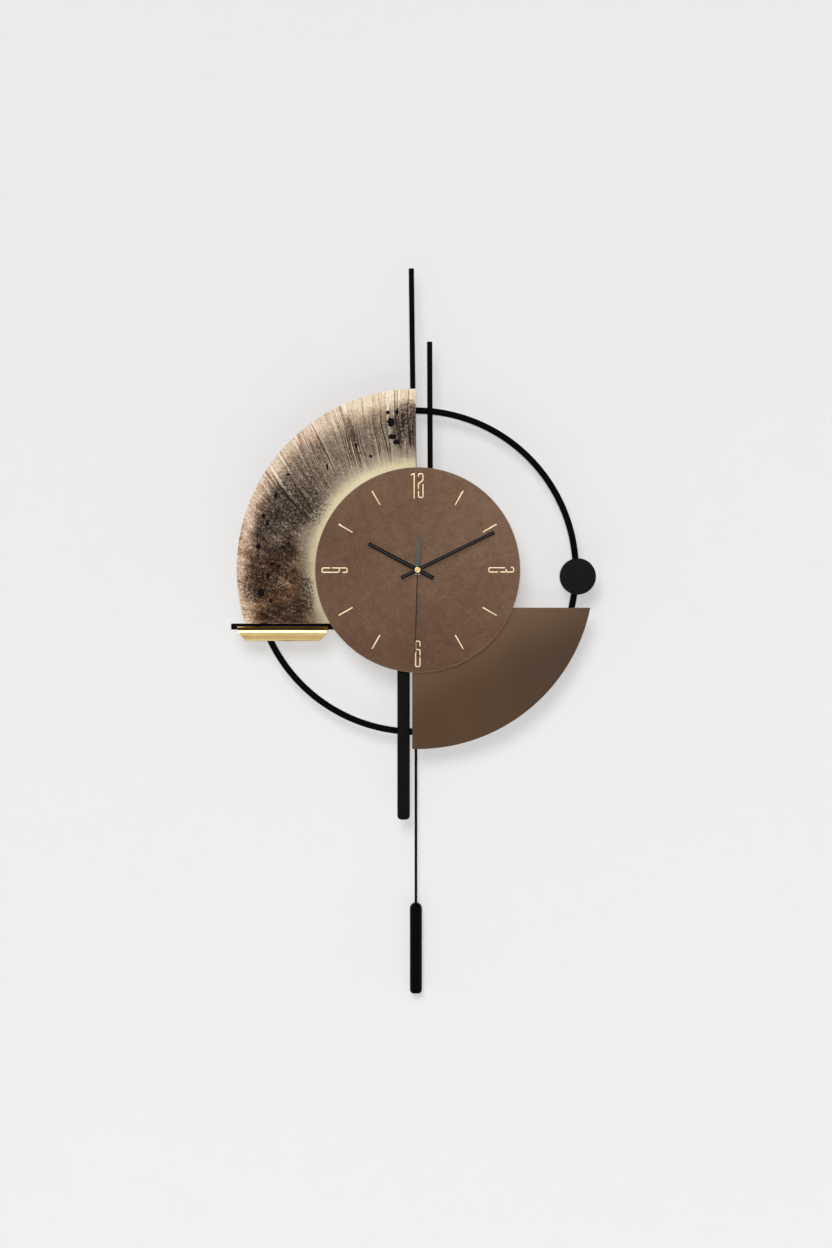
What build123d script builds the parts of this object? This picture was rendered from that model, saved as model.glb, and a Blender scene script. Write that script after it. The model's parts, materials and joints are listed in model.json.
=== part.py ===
from build123d import *
import os
from math import acos, cos, pi, radians, sin, sqrt, tan

# Wall clock with a free-hanging pendulum: a welded frame of black rods carries two sector
# panels, a small trough and a round dial, with a quartz movement behind the dial.
# Units are millimetres. The shapes are drawn from the hand axis: x to the right, z up and
# depth out from the wall into the room, which is -Y. At export they are lowered, so that
# the origin is the middle of the keyhole on the wall plane and the front faces -Y.

# Frame of rods and flat bar
RING_CENTRE = (-3.0, -1.4)
RING_RADIUS = 199.3
RING_ROD_RADIUS = 4.0
RING_DEPTH = 22.0
RODS_BACK = 26.0
UPRIGHT_RADIUS = 3.25
TALL_ROD_TOP = (-7.8, 373.9)
TALL_ROD_FOOT = (-3.9, 52.0)
SHORT_ROD_TOP = (14.9, 283.1)
SHORT_ROD_FOOT = (16.0, 52.0)
ROD_TIP_ROUNDING = 0.8
HORIZON_RADIUS = 3.75
HORIZON_HEIGHT = -70.2
HORIZON_LEFT = -231.2
HORIZON_RIGHT = -34.0
BAR_CENTRE = -17.4
BAR_WIDTH = 15.4
BAR_TOP = -40.0
BAR_FOOT = -309.6
BAR_EDGE_ROUNDING = 2.9
BAR_FOOT_ROUNDING = 5.0
PLATE_RADIUS = 100.0
PLATE_BACK = 32.5
PLATE_FRONT = 35.5
PLATE_WINDOW = (-30.0, 30.0, -36.0, 34.0)

# Sector panels and what is on the frame
PANEL_BACK = 33.0
PANEL_THICKNESS = 3.0
PRINT_THICKNESS = 0.4
PANEL_INNER_RADIUS = 105.0
WOOD_CENTRE = (-1.0, 1.4)
WOOD_RADIUS = 223.2
WOOD_RIGHT_EDGE = -2.2
WOOD_LOWER_EDGE = -66.2
BROWN_CENTRE = (0.0, -3.6)
BROWN_RADIUS = 218.3
BROWN_LEFT_EDGE = -6.6
BROWN_UPPER_EDGE = -46.9
TAB_ANGLES = (100.0, 140.0, 185.0, -20.0, -45.0, -75.0)
TAB_WIDTH = 16.0
TAB_REACH = 15.0
TAB_THICKNESS = 2.0
TAB_ROOT = 7.0
TAB_WELD = 2.0
TAB_SCREW_OFFSET = 8.7
FAR = 300.0
ACCENT_CENTRE = (198.6, -8.0)
ACCENT_RADIUS = 22.5
ACCENT_BACK = 30.0
ACCENT_FRONT = 33.0
ACCENT_ROUNDING = 0.5
STUD_RADIUS = 4.0
STUD_INSET = 2.4
TROUGH_TOP = (-223.6, -110.9)
TROUGH_FOOT = (-212.3, -122.4)
TROUGH_HEIGHTS = (-69.9, -87.9)
TROUGH_BULGE = 5.0
TROUGH_SHEET = 1.2
TROUGH_SEAT_GAP = 0.05
TROUGH_END_STEPS = 8
POST_ANGLES = (-37.0, 200.5)
RUBBER_FOOT = 2.0
POST_RADIUS = 4.0
FOOT_RADIUS = 5.0

# Hanging bracket
HANGER_HEIGHT = 68.0
HANGER_SHEET = 1.5
HANGER_LEVELS = (60.0, 84.0)
HANGER_HALF_WIDTH = 40.0
HANGER_FOOT = 12.0
KEYHOLE_RADIUS = 5.0
KEYHOLE_SLOT = 2.5
KEYHOLE_RISE = 9.0
RIVET_LEVELS = (66.0, 78.0)

# Fasteners: head radius, shank radius and head height
PANEL_SCREW = (2.8, 1.5, 1.8)
DIAL_SCREW = (3.5, 2.0, 2.4)
HANGER_RIVET = (2.8, 1.5, 0.9)
PANEL_SCREW_REACH = 2.2
DIAL_SCREW_FRONT = 40.0

# Dial
DIAL_RADIUS = 127.0
DIAL_BACK = 36.5
BOARD_FRONT = 41.5
DIAL_FRONT = 42.3
DIAL_HOLE = 4.1
SPACER_RADIUS = 5.0
DIAL_SCREWS = ((-62.0, 58.0), (62.0, 58.0), (-62.0, -48.0), (62.0, -48.0))
MARK_WIDTH = 1.7
MARK_RELIEF = 1.0
BATON_INNER = 93.0
BATON_OUTER = 113.0
WASHER_RADIUS = 5.8
WASHER_THICKNESS = 0.5
NUT_HALF_FLATS = 5.2
NUT_HEIGHT = 2.5

# Hands: clock angles run clockwise from 12
HOUR_HAND = dict(angle=298.0, length=69.0, tail=22.5, width=5.2, boss=5.0, back=46.3)
MINUTE_HAND = dict(angle=63.9, length=105.7, tail=22.7, width=4.8, boss=4.6, back=49.0)
SECOND_HAND = dict(angle=181.8, length=103.4, tail=42.7, width=1.5, tail_width=3.6, boss=4.2, back=52.4)
HAND_STRIP = 1.6
HAND_THICKNESS = 1.0
HAND_RIM_SHARE = 0.45
NEEDLE_THICKNESS = 0.8
NEEDLE_TIP_SHARE = 0.8
NEEDLE_SHOULDER = 6.0
CAP_RADIUS = 3.8
CAP_FRONT = 56.5
CAP_ROUNDING = 1.2
ARBOR_FRONT = 55.8

# Movement case
CASE_HALF_WIDTH = 28.0
CASE_FOOT = -34.0
CASE_TOP = 32.0
CASE_BACK = 19.5
COVER_FRONT = 21.0
CASE_FRONT = 35.5
CASE_WALL = 1.2
BAY_FLOOR = 15.6
BUSH_RADIUS = 4.0
BUSH_FRONT = 46.0
SHAFT_GAP = 0.08
PIVOT_RADIUS = 0.45
HOUR_PIPE = 2.55
MINUTE_PIPE = 1.6
SECOND_ARBOR = 0.6
HOUR_PIPE_FRONT = 48.5
MINUTE_PIPE_FRONT = 52.0
CENTRE_SLEEVE = 1.2
MOTION_STUD = 0.6
ROTOR_ARBOR = 0.8
STEP_ARBOR = 0.96
WHEEL_ARBOR = 0.8
SETTING_SHAFT_RADIUS = 0.9
SETTING_SHAFT_BACK = 15.0
KNOB_RADIUS = 4.6
KNOB_BACK = 14.5
KNOB_FRONT = 18.5
KNOB_NOTCHES = 16
KNOB_NOTCH_RADIUS = 0.5
KNOB_NOTCH_CIRCLE = 4.9
CASE_CORNER = 2.0
GASKET_RADIUS = 12.0
ROTOR_MAGNET = (2.6, 25.0, 27.6)
CORE_LEVELS = (-23.0, -19.0)
CORE_DEPTHS = (25.0, 26.0)
BATTERY_DEPTH = 27.2
BATTERY_RADIUS = 7.15
BATTERY_ENDS = (-25.0, 24.0)
NUB_RADIUS = 2.7
NUB_END = 25.1
CONTACT_DEPTHS = (22.0, 33.0)
CONTACT_HALF = 4.0

# Gear train: teeth, axes in the face plane and the depth of each layer
ROTOR_TEETH, STEP_TEETH = 10, 60
STEP_PINION, SECOND_TEETH = 12, 60
SECOND_PINION, THIRD_TEETH = 8, 64
THIRD_PINION, CENTRE_TEETH = 8, 60
CANNON_TEETH, MOTION_TEETH = 12, 36
MOTION_PINION, HOUR_TEETH = 10, 40
SETTING_TEETH = 12
THIRD_SPACING, THIRD_DIRECTION = 9.2, 150.0
STEP_SPACING, STEP_DIRECTION = 9.6, 20.0
ROTOR_SPACING, ROTOR_DIRECTION = 7.0, -35.0
MOTION_SPACING, MOTION_DIRECTION = 7.2, -120.0
STEP_LAYER = 22.6
SECOND_LAYER = 24.6
THIRD_LAYER = 26.6
CENTRE_LAYER = 28.8
MOTION_LAYER = 30.6
HOUR_LAYER = 32.6
WHEEL_THICKNESS = 1.0
PINION_OVERHANG = 0.2
PRESSURE_ANGLE = radians(20.0)
TOOTH_THINNING = 0.80
ROOT_SHARE = 1.1
SMALL_GEAR = 20

# Pendulum and its drive, hung clear behind the ring
PENDULUM_X = -2.1
PENDULUM_DEPTH = 10.0
PIVOT_HEIGHT = -26.0
DRIVE_HALF_WIDTH = 20.0
DRIVE_FOOT = -60.0
DRIVE_TOP = -19.0
DRIVE_BACK = 2.5
DRIVE_WALL = 1.5
LEVER_HALF_WIDTH = 2.5
LEVER_HALF_THICKNESS = 1.5
LEVER_FOOT = -61.0
LEVER_EYE_RADIUS = 3.4
LEVER_POCKET_RADIUS = 5.6
FORK_HEIGHTS = (-62.0, -67.5)
FORK_THICKNESS = 1.5
PIVOT_PIN_RADIUS = 0.8
MAGNET_HEIGHT = -46.0
MAGNET_RADIUS = 4.0
COIL_RADIUS = 6.5
COIL_CORE_RADIUS = 2.4
COIL_HEIGHT = 3.4
SLOT_HALF_WIDTH = 8.0
SLOT_DEPTHS = (6.0, 14.0)
HOOK_PIN_RADIUS = 1.0
HOOK_PIN_HALF_LENGTH = 3.0
HOOK_PIN_HEIGHT = -65.0
EYE_RADIUS = 3.0
EYE_WIRE = 0.8
PENDULUM_ROD_RADIUS = 1.6
BOB_RADIUS = 7.5
BOB_TOP = -412.9
BOB_FOOT = -526.2
BOB_SOCKET = 14.0
BOB_TOP_ROUNDING = 7.2
BOB_FOOT_ROUNDING = 4.5


def polar(radius, angle, centre=(0.0, 0.0)):
    """Point of the face plane at this distance and counter-clockwise angle from a centre."""
    turn = radians(angle)
    return (centre[0] + radius * cos(turn), centre[1] + radius * sin(turn))


def slab(outline, back, front):
    """Face-on outline extruded between two depths from the wall."""
    return extrude(Plane.XZ.offset(back) * outline, amount=front - back, dir=(0, -1, 0))


def disc(centre, radius, back, front):
    return slab(Pos(*centre) * Circle(radius), back, front)


def collar(centre, outer, inner, back, front):
    return slab(Pos(*centre) * (Circle(outer) - Circle(inner)), back, front)


def box_outline(left, right, low, high):
    return Pos((left + right) / 2, (low + high) / 2) * Rectangle(right - left, high - low)


def block(left, right, low, high, back, front):
    return slab(box_outline(left, right, low, high), back, front)


def turned_block(radial, tangential, angle, centre, back, front):
    """Block whose outline spans radial and tangential ranges about a centre."""
    outline = box_outline(radial[0], radial[1], tangential[0], tangential[1])
    return slab(Pos(*centre) * Rot(0, 0, angle) * outline, back, front)


def rod(start, end, radius, tip=0.0):
    """Round bar between two points (x, z, depth), with rounded end edges."""
    foot = Vector(start[0], -start[2], start[1])
    head = Vector(end[0], -end[2], end[1])
    bar = extrude(Plane(origin=foot, z_dir=head - foot) * Circle(radius), amount=(head - foot).length)
    if tip:
        bar = fillet(bar.edges().filter_by(GeomType.CIRCLE), tip)
    return bar


def hoop(centre, radius, wire_radius, depth):
    """Ring of round wire that lies in the face plane."""
    return Pos(centre[0], -depth, centre[1]) * Rot(90, 0, 0) * Torus(radius, wire_radius)


def fastener(centre, kind, seat, front):
    """Head behind its seat and shank from the seat forwards. kind is (head, shank, head height)."""
    head, shank, height = kind
    return (disc(centre, head, seat - height, seat) + disc(centre, shank, seat, front)).solid()


# ---------------------------------------------------------------- frame


def ring_rod():
    return hoop(RING_CENTRE, RING_RADIUS, RING_ROD_RADIUS, RING_DEPTH)


def upright(top, foot):
    depth = RODS_BACK + UPRIGHT_RADIUS
    return rod((*foot, depth), (*top, depth), UPRIGHT_RADIUS, ROD_TIP_ROUNDING)


def horizon_rod():
    depth = RODS_BACK + HORIZON_RADIUS
    left = (HORIZON_LEFT, HORIZON_HEIGHT, depth)
    right = (HORIZON_RIGHT, HORIZON_HEIGHT, depth)
    return rod(left, right, HORIZON_RADIUS, ROD_TIP_ROUNDING)


def hanging_bar():
    """Flat bar with rounded long edges and a rounded foot."""
    half = BAR_WIDTH / 2
    outline = box_outline(BAR_CENTRE - half, BAR_CENTRE + half, BAR_FOOT, BAR_TOP)
    outline = fillet(outline.vertices().sort_by(Axis.Y)[:2], BAR_FOOT_ROUNDING)
    bar = slab(outline, RODS_BACK, PLATE_BACK)
    long_edges = bar.edges().filter_by(Axis.Z)
    return fillet(long_edges, BAR_EDGE_ROUNDING)


def mounting_plate():
    """Round plate behind the dial, grooved for the horizon rod and open for the movement."""
    outline = Circle(PLATE_RADIUS) - box_outline(*PLATE_WINDOW)
    for centre in DIAL_SCREWS:
        outline -= Pos(*centre) * Circle(DIAL_SCREW[1])
    for centre in hanger_rivet_centres():
        outline -= Pos(*centre) * Circle(HANGER_RIVET[1])
    return slab(outline, PLATE_BACK, PLATE_FRONT) - horizon_rod()


def hanger_rivet_centres():
    middle = HANGER_HALF_WIDTH + HANGER_FOOT / 2
    return tuple((side * middle, level) for side in (-1, 1) for level in RIVET_LEVELS)


def panel_tabs():
    """Angle tabs welded to the inner side of the ring, with a flange under each panel."""
    tabs = []
    inner = RING_RADIUS - TAB_ROOT
    seat = PANEL_BACK - TAB_THICKNESS
    half = (-TAB_WIDTH / 2, TAB_WIDTH / 2)
    for angle in TAB_ANGLES:
        web = turned_block((inner, RING_RADIUS - TAB_WELD), half, angle, RING_CENTRE, RING_DEPTH - 1.0, seat)
        flange = turned_block((inner, RING_RADIUS + TAB_REACH), half, angle, RING_CENTRE, seat, PANEL_BACK)
        hole = disc(tab_screw_centre(angle), PANEL_SCREW[1], seat, PANEL_BACK)
        tabs.append((web + flange - hole - ring_rod()).solid())
    return Compound(tabs)


def tab_screw_centre(angle):
    return polar(RING_RADIUS + TAB_SCREW_OFFSET, angle, RING_CENTRE)


def panel_screws():
    """Pan-head screws that go through the tabs into the backs of the panels."""
    seat = PANEL_BACK - TAB_THICKNESS
    front = PANEL_BACK + PANEL_SCREW_REACH
    return Compound([fastener(tab_screw_centre(angle), PANEL_SCREW, seat, front) for angle in TAB_ANGLES])


def panel_outline(centre, radius, corner):
    """Sector of a round panel, cut away where the dial covers it. corner is the kept quarter."""
    whole = Pos(*centre) * Circle(radius) - Circle(PANEL_INNER_RADIUS)
    return whole & box_outline(*corner)


def wood_outline():
    corner = (-FAR, WOOD_RIGHT_EDGE, WOOD_LOWER_EDGE, FAR)
    return panel_outline(WOOD_CENTRE, WOOD_RADIUS, corner)


def wood_panel_board():
    board = slab(wood_outline(), PANEL_BACK, PANEL_BACK + PANEL_THICKNESS - PRINT_THICKNESS)
    return board - panel_screws()


def wood_panel_print():
    return slab(wood_outline(), PANEL_BACK + PANEL_THICKNESS - PRINT_THICKNESS, PANEL_BACK + PANEL_THICKNESS)


def brown_panel():
    corner = (BROWN_LEFT_EDGE, FAR, -FAR, BROWN_UPPER_EDGE)
    outline = panel_outline(BROWN_CENTRE, BROWN_RADIUS, corner)
    return slab(outline, PANEL_BACK, PANEL_BACK + PANEL_THICKNESS) - panel_screws()


def accent_disc():
    return fillet(disc(ACCENT_CENTRE, ACCENT_RADIUS, ACCENT_BACK, ACCENT_FRONT).edges(), ACCENT_ROUNDING)


def accent_stud():
    """Short spacer between the ring and the round accent."""
    centre = (ACCENT_CENTRE[0] - STUD_INSET, ACCENT_CENTRE[1])
    return disc(centre, STUD_RADIUS, RING_DEPTH, ACCENT_BACK) - ring_rod()


def trough_section():
    """Bowed strip, drawn as (depth, height): a chord of the given bulge, one sheet thick."""
    high, low = TROUGH_HEIGHTS
    radius = ((high - low) ** 2 / 4 + TROUGH_BULGE**2) / (2 * TROUGH_BULGE)
    back = RODS_BACK + 2 * HORIZON_RADIUS + TROUGH_SEAT_GAP
    middle = (back + TROUGH_BULGE - radius, (high + low) / 2)
    shell = Pos(*middle) * (Circle(radius) - Circle(radius - TROUGH_SHEET))
    return shell & box_outline(back, back + 2 * TROUGH_BULGE, low, high)


def trough_end(top, foot):
    """End line of the trough: it curves in towards the foot with the square of the depth."""
    high, low = TROUGH_HEIGHTS
    shares = [step / TROUGH_END_STEPS for step in range(TROUGH_END_STEPS + 1)]
    return [(top + (foot - top) * share**2, high + (low - high) * share) for share in shares]


def gold_trough():
    """Bowed gilt strip with rounded ends, wider at its top edge."""
    left, right = TROUGH_TOP
    across = Plane(origin=(right, 0, 0), x_dir=(0, -1, 0), z_dir=(-1, 0, 0))
    strip = extrude(across * trough_section(), amount=right - left)
    outline = trough_end(left, TROUGH_FOOT[0]) + trough_end(right, TROUGH_FOOT[1])[::-1]
    return strip & slab(Polygon(*outline, align=None), PANEL_BACK, CASE_FRONT + TROUGH_BULGE)


def standoff_posts():
    posts = [disc(centre, POST_RADIUS, RUBBER_FOOT, RING_DEPTH) for centre in post_centres()]
    return Compound([(post - ring_rod()).solid() for post in posts])


def rubber_feet():
    return Compound([disc(centre, FOOT_RADIUS, 0.0, RUBBER_FOOT).solid() for centre in post_centres()])


def post_centres():
    return [polar(RING_RADIUS, angle, RING_CENTRE) for angle in POST_ANGLES]


def hanger_bracket():
    """Keyhole plate on the wall, welded to two angle legs whose feet sit behind the mounting plate."""
    low, high = HANGER_LEVELS
    half = HANGER_HALF_WIDTH
    sheet = HANGER_SHEET
    keyhole = Pos(0, HANGER_HEIGHT) * Circle(KEYHOLE_RADIUS)
    keyhole += box_outline(-KEYHOLE_SLOT, KEYHOLE_SLOT, HANGER_HEIGHT, HANGER_HEIGHT + KEYHOLE_RISE)
    keyhole += Pos(0, HANGER_HEIGHT + KEYHOLE_RISE) * Circle(KEYHOLE_SLOT)
    pieces = [slab(box_outline(-half, half, low, high) - keyhole, 0.0, sheet).solid()]
    for side in (-1, 1):
        leg = sorted((side * (half - sheet), side * half))
        foot = sorted((side * half, side * (half + HANGER_FOOT)))
        angle = block(*leg, low, high, sheet, PLATE_BACK)
        angle += block(*foot, low, high, PLATE_BACK - sheet, PLATE_BACK)
        for centre in hanger_rivet_centres():
            angle -= disc(centre, HANGER_RIVET[1], 0.0, PLATE_BACK)
        pieces.append(angle.solid())
    return Compound(pieces)


def hanger_rivets():
    seat = PLATE_BACK - HANGER_SHEET
    return Compound([fastener(centre, HANGER_RIVET, seat, PLATE_FRONT) for centre in hanger_rivet_centres()])


# ---------------------------------------------------------------- dial


def dial_board():
    return collar((0, 0), DIAL_RADIUS, DIAL_HOLE, DIAL_BACK, BOARD_FRONT) - dial_screws()


def dial_leather():
    return collar((0, 0), DIAL_RADIUS, DIAL_HOLE, BOARD_FRONT, DIAL_FRONT)


def dial_screws():
    return Compound([fastener(centre, DIAL_SCREW, PLATE_BACK, DIAL_SCREW_FRONT) for centre in DIAL_SCREWS])


def dial_spacers():
    bore = DIAL_SCREW[1]
    spacers = [collar(centre, SPACER_RADIUS, bore, PLATE_FRONT, DIAL_BACK) for centre in DIAL_SCREWS]
    return Compound([spacer.solid() for spacer in spacers])


def stroke(*points, radius=0.0):
    """Round-ended stroke of even width along a polyline, its corners rounded if asked."""
    path = FilletPolyline(*points, radius=radius) if radius else Polyline(*points)
    return SlotArc(path.wire(), MARK_WIDTH)


def raised(outline):
    return slab(outline, DIAL_FRONT, DIAL_FRONT + MARK_RELIEF).solid()


def figures_12():
    one = stroke((-8.0, 117.6), (-4.3, 119.0), (-4.3, 88.8))
    crown = ((1.1, 116.0), (1.1, 119.0), (6.7, 119.0))
    head = stroke(*crown, (6.7, 110.4), (1.1, 107.4), (1.1, 98.0), radius=2.2)
    foot = stroke((1.1, 100.0), (1.1, 89.6), (6.7, 89.6), (6.7, 105.6), radius=2.2)
    return [raised(one), raised(head + foot)]


def figure_3():
    """Its top points outwards, to the right."""
    long_side = stroke((116.2, 3.0), (118.9, 3.0), (118.9, -2.7), (100.0, -2.7), radius=2.0)
    bowl = stroke((102.0, -2.7), (88.3, -2.7), (88.3, 2.6), (108.0, 2.6), radius=2.0)
    notch = stroke((109.6, -2.7), (109.6, 0.4))
    return raised(long_side + bowl + notch)


def figure_6():
    hook = stroke((2.9, -94.1), (2.9, -88.3), (-2.5, -88.3), (-2.5, -100.0), radius=2.0)
    foot = stroke((-2.5, -98.0), (-2.5, -119.7), (2.9, -119.7), (2.9, -106.0), radius=2.0)
    bowl = stroke((2.9, -108.0), (2.9, -98.6), (-2.5, -98.6), radius=2.0)
    return raised(hook + foot + bowl)


def figure_9():
    """Its top points outwards, to the left."""
    bowl = stroke((-97.0, 2.2), (-97.0, -3.1), (-118.2, -3.1), (-118.2, 2.3), (-106.0, 2.3), radius=2.0)
    hook = stroke((-108.0, 2.3), (-87.2, 2.3), (-87.2, -3.1), (-92.4, -3.1), radius=2.0)
    return raised(bowl + hook)


def numerals():
    return Compound([*figures_12(), figure_3(), figure_6(), figure_9()])


def hour_batons():
    batons = []
    for hour in (1, 2, 4, 5, 7, 8, 10, 11):
        angle = 90 - 30 * hour
        half = (-MARK_WIDTH / 2, MARK_WIDTH / 2)
        baton = turned_block(
            (BATON_INNER, BATON_OUTER), half, angle, (0, 0), DIAL_FRONT, DIAL_FRONT + MARK_RELIEF
        )
        batons.append(baton.solid())
    return Compound(batons)


def washer():
    return collar((0, 0), WASHER_RADIUS, BUSH_RADIUS, DIAL_FRONT, DIAL_FRONT + WASHER_THICKNESS)


def hex_nut():
    nut = RegularPolygon(NUT_HALF_FLATS, 6, major_radius=False, rotation=0) - Circle(BUSH_RADIUS)
    back = DIAL_FRONT + WASHER_THICKNESS
    return slab(Rot(0, 0, 30) * nut, back, back + NUT_HEIGHT)


# ---------------------------------------------------------------- hands


def stick_hand(hand, bore):
    """Stick hand with bevelled sides, a flat middle strip and a round boss."""
    half = hand["width"] / 2
    back = hand["back"]
    thickness = HAND_THICKNESS
    rim = thickness * HAND_RIM_SHARE
    strip = HAND_STRIP / 2
    section = Polygon(
        (-half, 0), (half, 0), (half, rim), (strip, thickness), (-strip, thickness), (-half, rim), align=None
    )
    along = Plane(origin=(0, -back, -hand["tail"]), x_dir=(-1, 0, 0), z_dir=(0, 0, 1))
    stick = extrude(along * section, amount=hand["length"] + hand["tail"])
    blank = stick + disc((0, 0), hand["boss"], back, back + thickness)
    blank -= disc((0, 0), bore, back, back + thickness)
    return blank.rotate(Axis((0, 0, 0), (0, 1, 0)), hand["angle"])


def second_hand():
    """Needle with a tapered pointer and a broader counterweight tail."""
    half = SECOND_HAND["width"] / 2
    tail = SECOND_HAND["tail_width"] / 2
    outline = Polygon(
        (-tail, -SECOND_HAND["tail"]),
        (tail, -SECOND_HAND["tail"]),
        (tail, -NEEDLE_SHOULDER),
        (half, 0.0),
        (NEEDLE_TIP_SHARE * half, SECOND_HAND["length"]),
        (-NEEDLE_TIP_SHARE * half, SECOND_HAND["length"]),
        (-half, 0.0),
        (-tail, -NEEDLE_SHOULDER),
        align=None,
    )
    outline += Circle(SECOND_HAND["boss"])
    back = SECOND_HAND["back"]
    blank = slab(outline - Circle(SECOND_ARBOR), back, back + NEEDLE_THICKNESS)
    return blank.rotate(Axis((0, 0, 0), (0, 1, 0)), SECOND_HAND["angle"])


def second_hand_cap():
    back = SECOND_HAND["back"] + NEEDLE_THICKNESS
    cap = disc((0, 0), CAP_RADIUS, back, CAP_FRONT) - disc((0, 0), SECOND_ARBOR, back, ARBOR_FRONT)
    return fillet(cap.edges().filter_by(GeomType.CIRCLE).sort_by(Axis.Y)[0], CAP_ROUNDING)


# ---------------------------------------------------------------- gears


def involute(angle):
    return tan(angle) - angle


def gear_outline(teeth, pitch_radius, phase):
    """Spur gear outline with involute flanks; one tooth is centred on the phase angle."""
    module = 2 * pitch_radius / teeth
    addendum = 0.8 if teeth < SMALL_GEAR else 0.6
    base = pitch_radius * cos(PRESSURE_ANGLE)
    root = pitch_radius - ROOT_SHARE * module
    tip = pitch_radius + addendum * module
    radii = [radius for radius in (root, base, pitch_radius, tip) if radius >= root]
    points = []
    for tooth in range(teeth):
        middle = radians(phase) + 2 * pi * tooth / teeth
        flank = [(radius, half_tooth(radius, base, teeth)) for radius in sorted(radii)]
        points += [(radius * cos(middle - half), radius * sin(middle - half)) for radius, half in flank]
        flank.reverse()
        points += [(radius * cos(middle + half), radius * sin(middle + half)) for radius, half in flank]
    return Polygon(*points, align=None)


def half_tooth(radius, base, teeth):
    """Half the angle that a tooth spans at this radius; radial below the base circle."""
    pressure = acos(min(1.0, base / max(radius, base)))
    return TOOTH_THINNING * pi / (2 * teeth) + involute(PRESSURE_ANGLE) - involute(pressure)


def gear(centre, teeth, pitch_radius, phase, back, front):
    return slab(Pos(*centre) * gear_outline(teeth, pitch_radius, phase), back, front)


def pitch_radii(spacing, first, second):
    """Pitch radii of two meshed gears from the distance between their axes."""
    return spacing * first / (first + second), spacing * second / (first + second)


def meshing_phase(phase, teeth, mate_teeth, direction):
    """Phase that puts a gap of the mate round the tooth that faces it."""
    return direction + 180 - (teeth / mate_teeth) * (phase - direction) + 180 / mate_teeth


THIRD_AXIS = polar(THIRD_SPACING, THIRD_DIRECTION)
STEP_AXIS = polar(STEP_SPACING, STEP_DIRECTION)
ROTOR_AXIS = polar(ROTOR_SPACING, ROTOR_DIRECTION, STEP_AXIS)
MOTION_AXIS = polar(MOTION_SPACING, MOTION_DIRECTION)
SETTING_AXIS = polar(2 * MOTION_SPACING, MOTION_DIRECTION)
PIVOT_BACK = COVER_FRONT - 0.7
PIVOT_FRONT = CASE_FRONT - CASE_WALL + 0.6


def wheel_and_pinion(centre, wheel, pinion, wheel_layer, pinion_layer, radius):
    """Wheel and pinion on one arbor. Each gear is (teeth, pitch radius, phase)."""
    body = gear(centre, *wheel, wheel_layer, wheel_layer + WHEEL_THICKNESS)
    low = min(wheel_layer, pinion_layer) - PINION_OVERHANG
    high = max(wheel_layer, pinion_layer) + WHEEL_THICKNESS + PINION_OVERHANG
    pinion_back = pinion_layer - PINION_OVERHANG
    body += gear(centre, *pinion, pinion_back, pinion_layer + WHEEL_THICKNESS + PINION_OVERHANG)
    return body + disc(centre, radius, low, high)


def rotor_pinion():
    pinion = pitch_radii(ROTOR_SPACING, ROTOR_TEETH, STEP_TEETH)[0]
    body = gear(ROTOR_AXIS, ROTOR_TEETH, pinion, 0.0, STEP_LAYER - PINION_OVERHANG, STEP_LAYER + 1.2)
    body += disc(ROTOR_AXIS, ROTOR_ARBOR, STEP_LAYER + 1.2, ROTOR_MAGNET[1])
    return body + disc(ROTOR_AXIS, PIVOT_RADIUS, PIVOT_BACK, PIVOT_FRONT)


def rotor_magnet():
    radius, back, front = ROTOR_MAGNET
    return collar(ROTOR_AXIS, radius, PIVOT_RADIUS, back, front)


def step_wheel():
    wheel = pitch_radii(ROTOR_SPACING, ROTOR_TEETH, STEP_TEETH)[1]
    pinion = pitch_radii(STEP_SPACING, STEP_PINION, SECOND_TEETH)[0]
    phase = meshing_phase(0.0, ROTOR_TEETH, STEP_TEETH, ROTOR_DIRECTION + 180)
    gears = (STEP_TEETH, wheel, phase), (STEP_PINION, pinion, 0.0)
    body = wheel_and_pinion(STEP_AXIS, *gears, STEP_LAYER, SECOND_LAYER, STEP_ARBOR)
    return body + disc(STEP_AXIS, PIVOT_RADIUS, PIVOT_BACK, PIVOT_FRONT)


def second_wheel():
    wheel = pitch_radii(STEP_SPACING, STEP_PINION, SECOND_TEETH)[1]
    pinion = pitch_radii(THIRD_SPACING, SECOND_PINION, THIRD_TEETH)[0]
    phase = meshing_phase(0.0, STEP_PINION, SECOND_TEETH, STEP_DIRECTION + 180)
    body = gear((0, 0), SECOND_TEETH, wheel, phase, SECOND_LAYER, SECOND_LAYER + WHEEL_THICKNESS)
    top = THIRD_LAYER + WHEEL_THICKNESS + PINION_OVERHANG
    body += gear((0, 0), SECOND_PINION, pinion, 0.0, SECOND_LAYER, top)
    return body + disc((0, 0), SECOND_ARBOR, PIVOT_BACK, ARBOR_FRONT)


def third_wheel():
    wheel = pitch_radii(THIRD_SPACING, SECOND_PINION, THIRD_TEETH)[1]
    pinion = pitch_radii(THIRD_SPACING, THIRD_PINION, CENTRE_TEETH)[0]
    phase = meshing_phase(0.0, SECOND_PINION, THIRD_TEETH, THIRD_DIRECTION)
    gears = (THIRD_TEETH, wheel, phase), (THIRD_PINION, pinion, 0.0)
    body = wheel_and_pinion(THIRD_AXIS, *gears, THIRD_LAYER, CENTRE_LAYER, WHEEL_ARBOR)
    return body + disc(THIRD_AXIS, PIVOT_RADIUS, PIVOT_BACK, PIVOT_FRONT)


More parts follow.
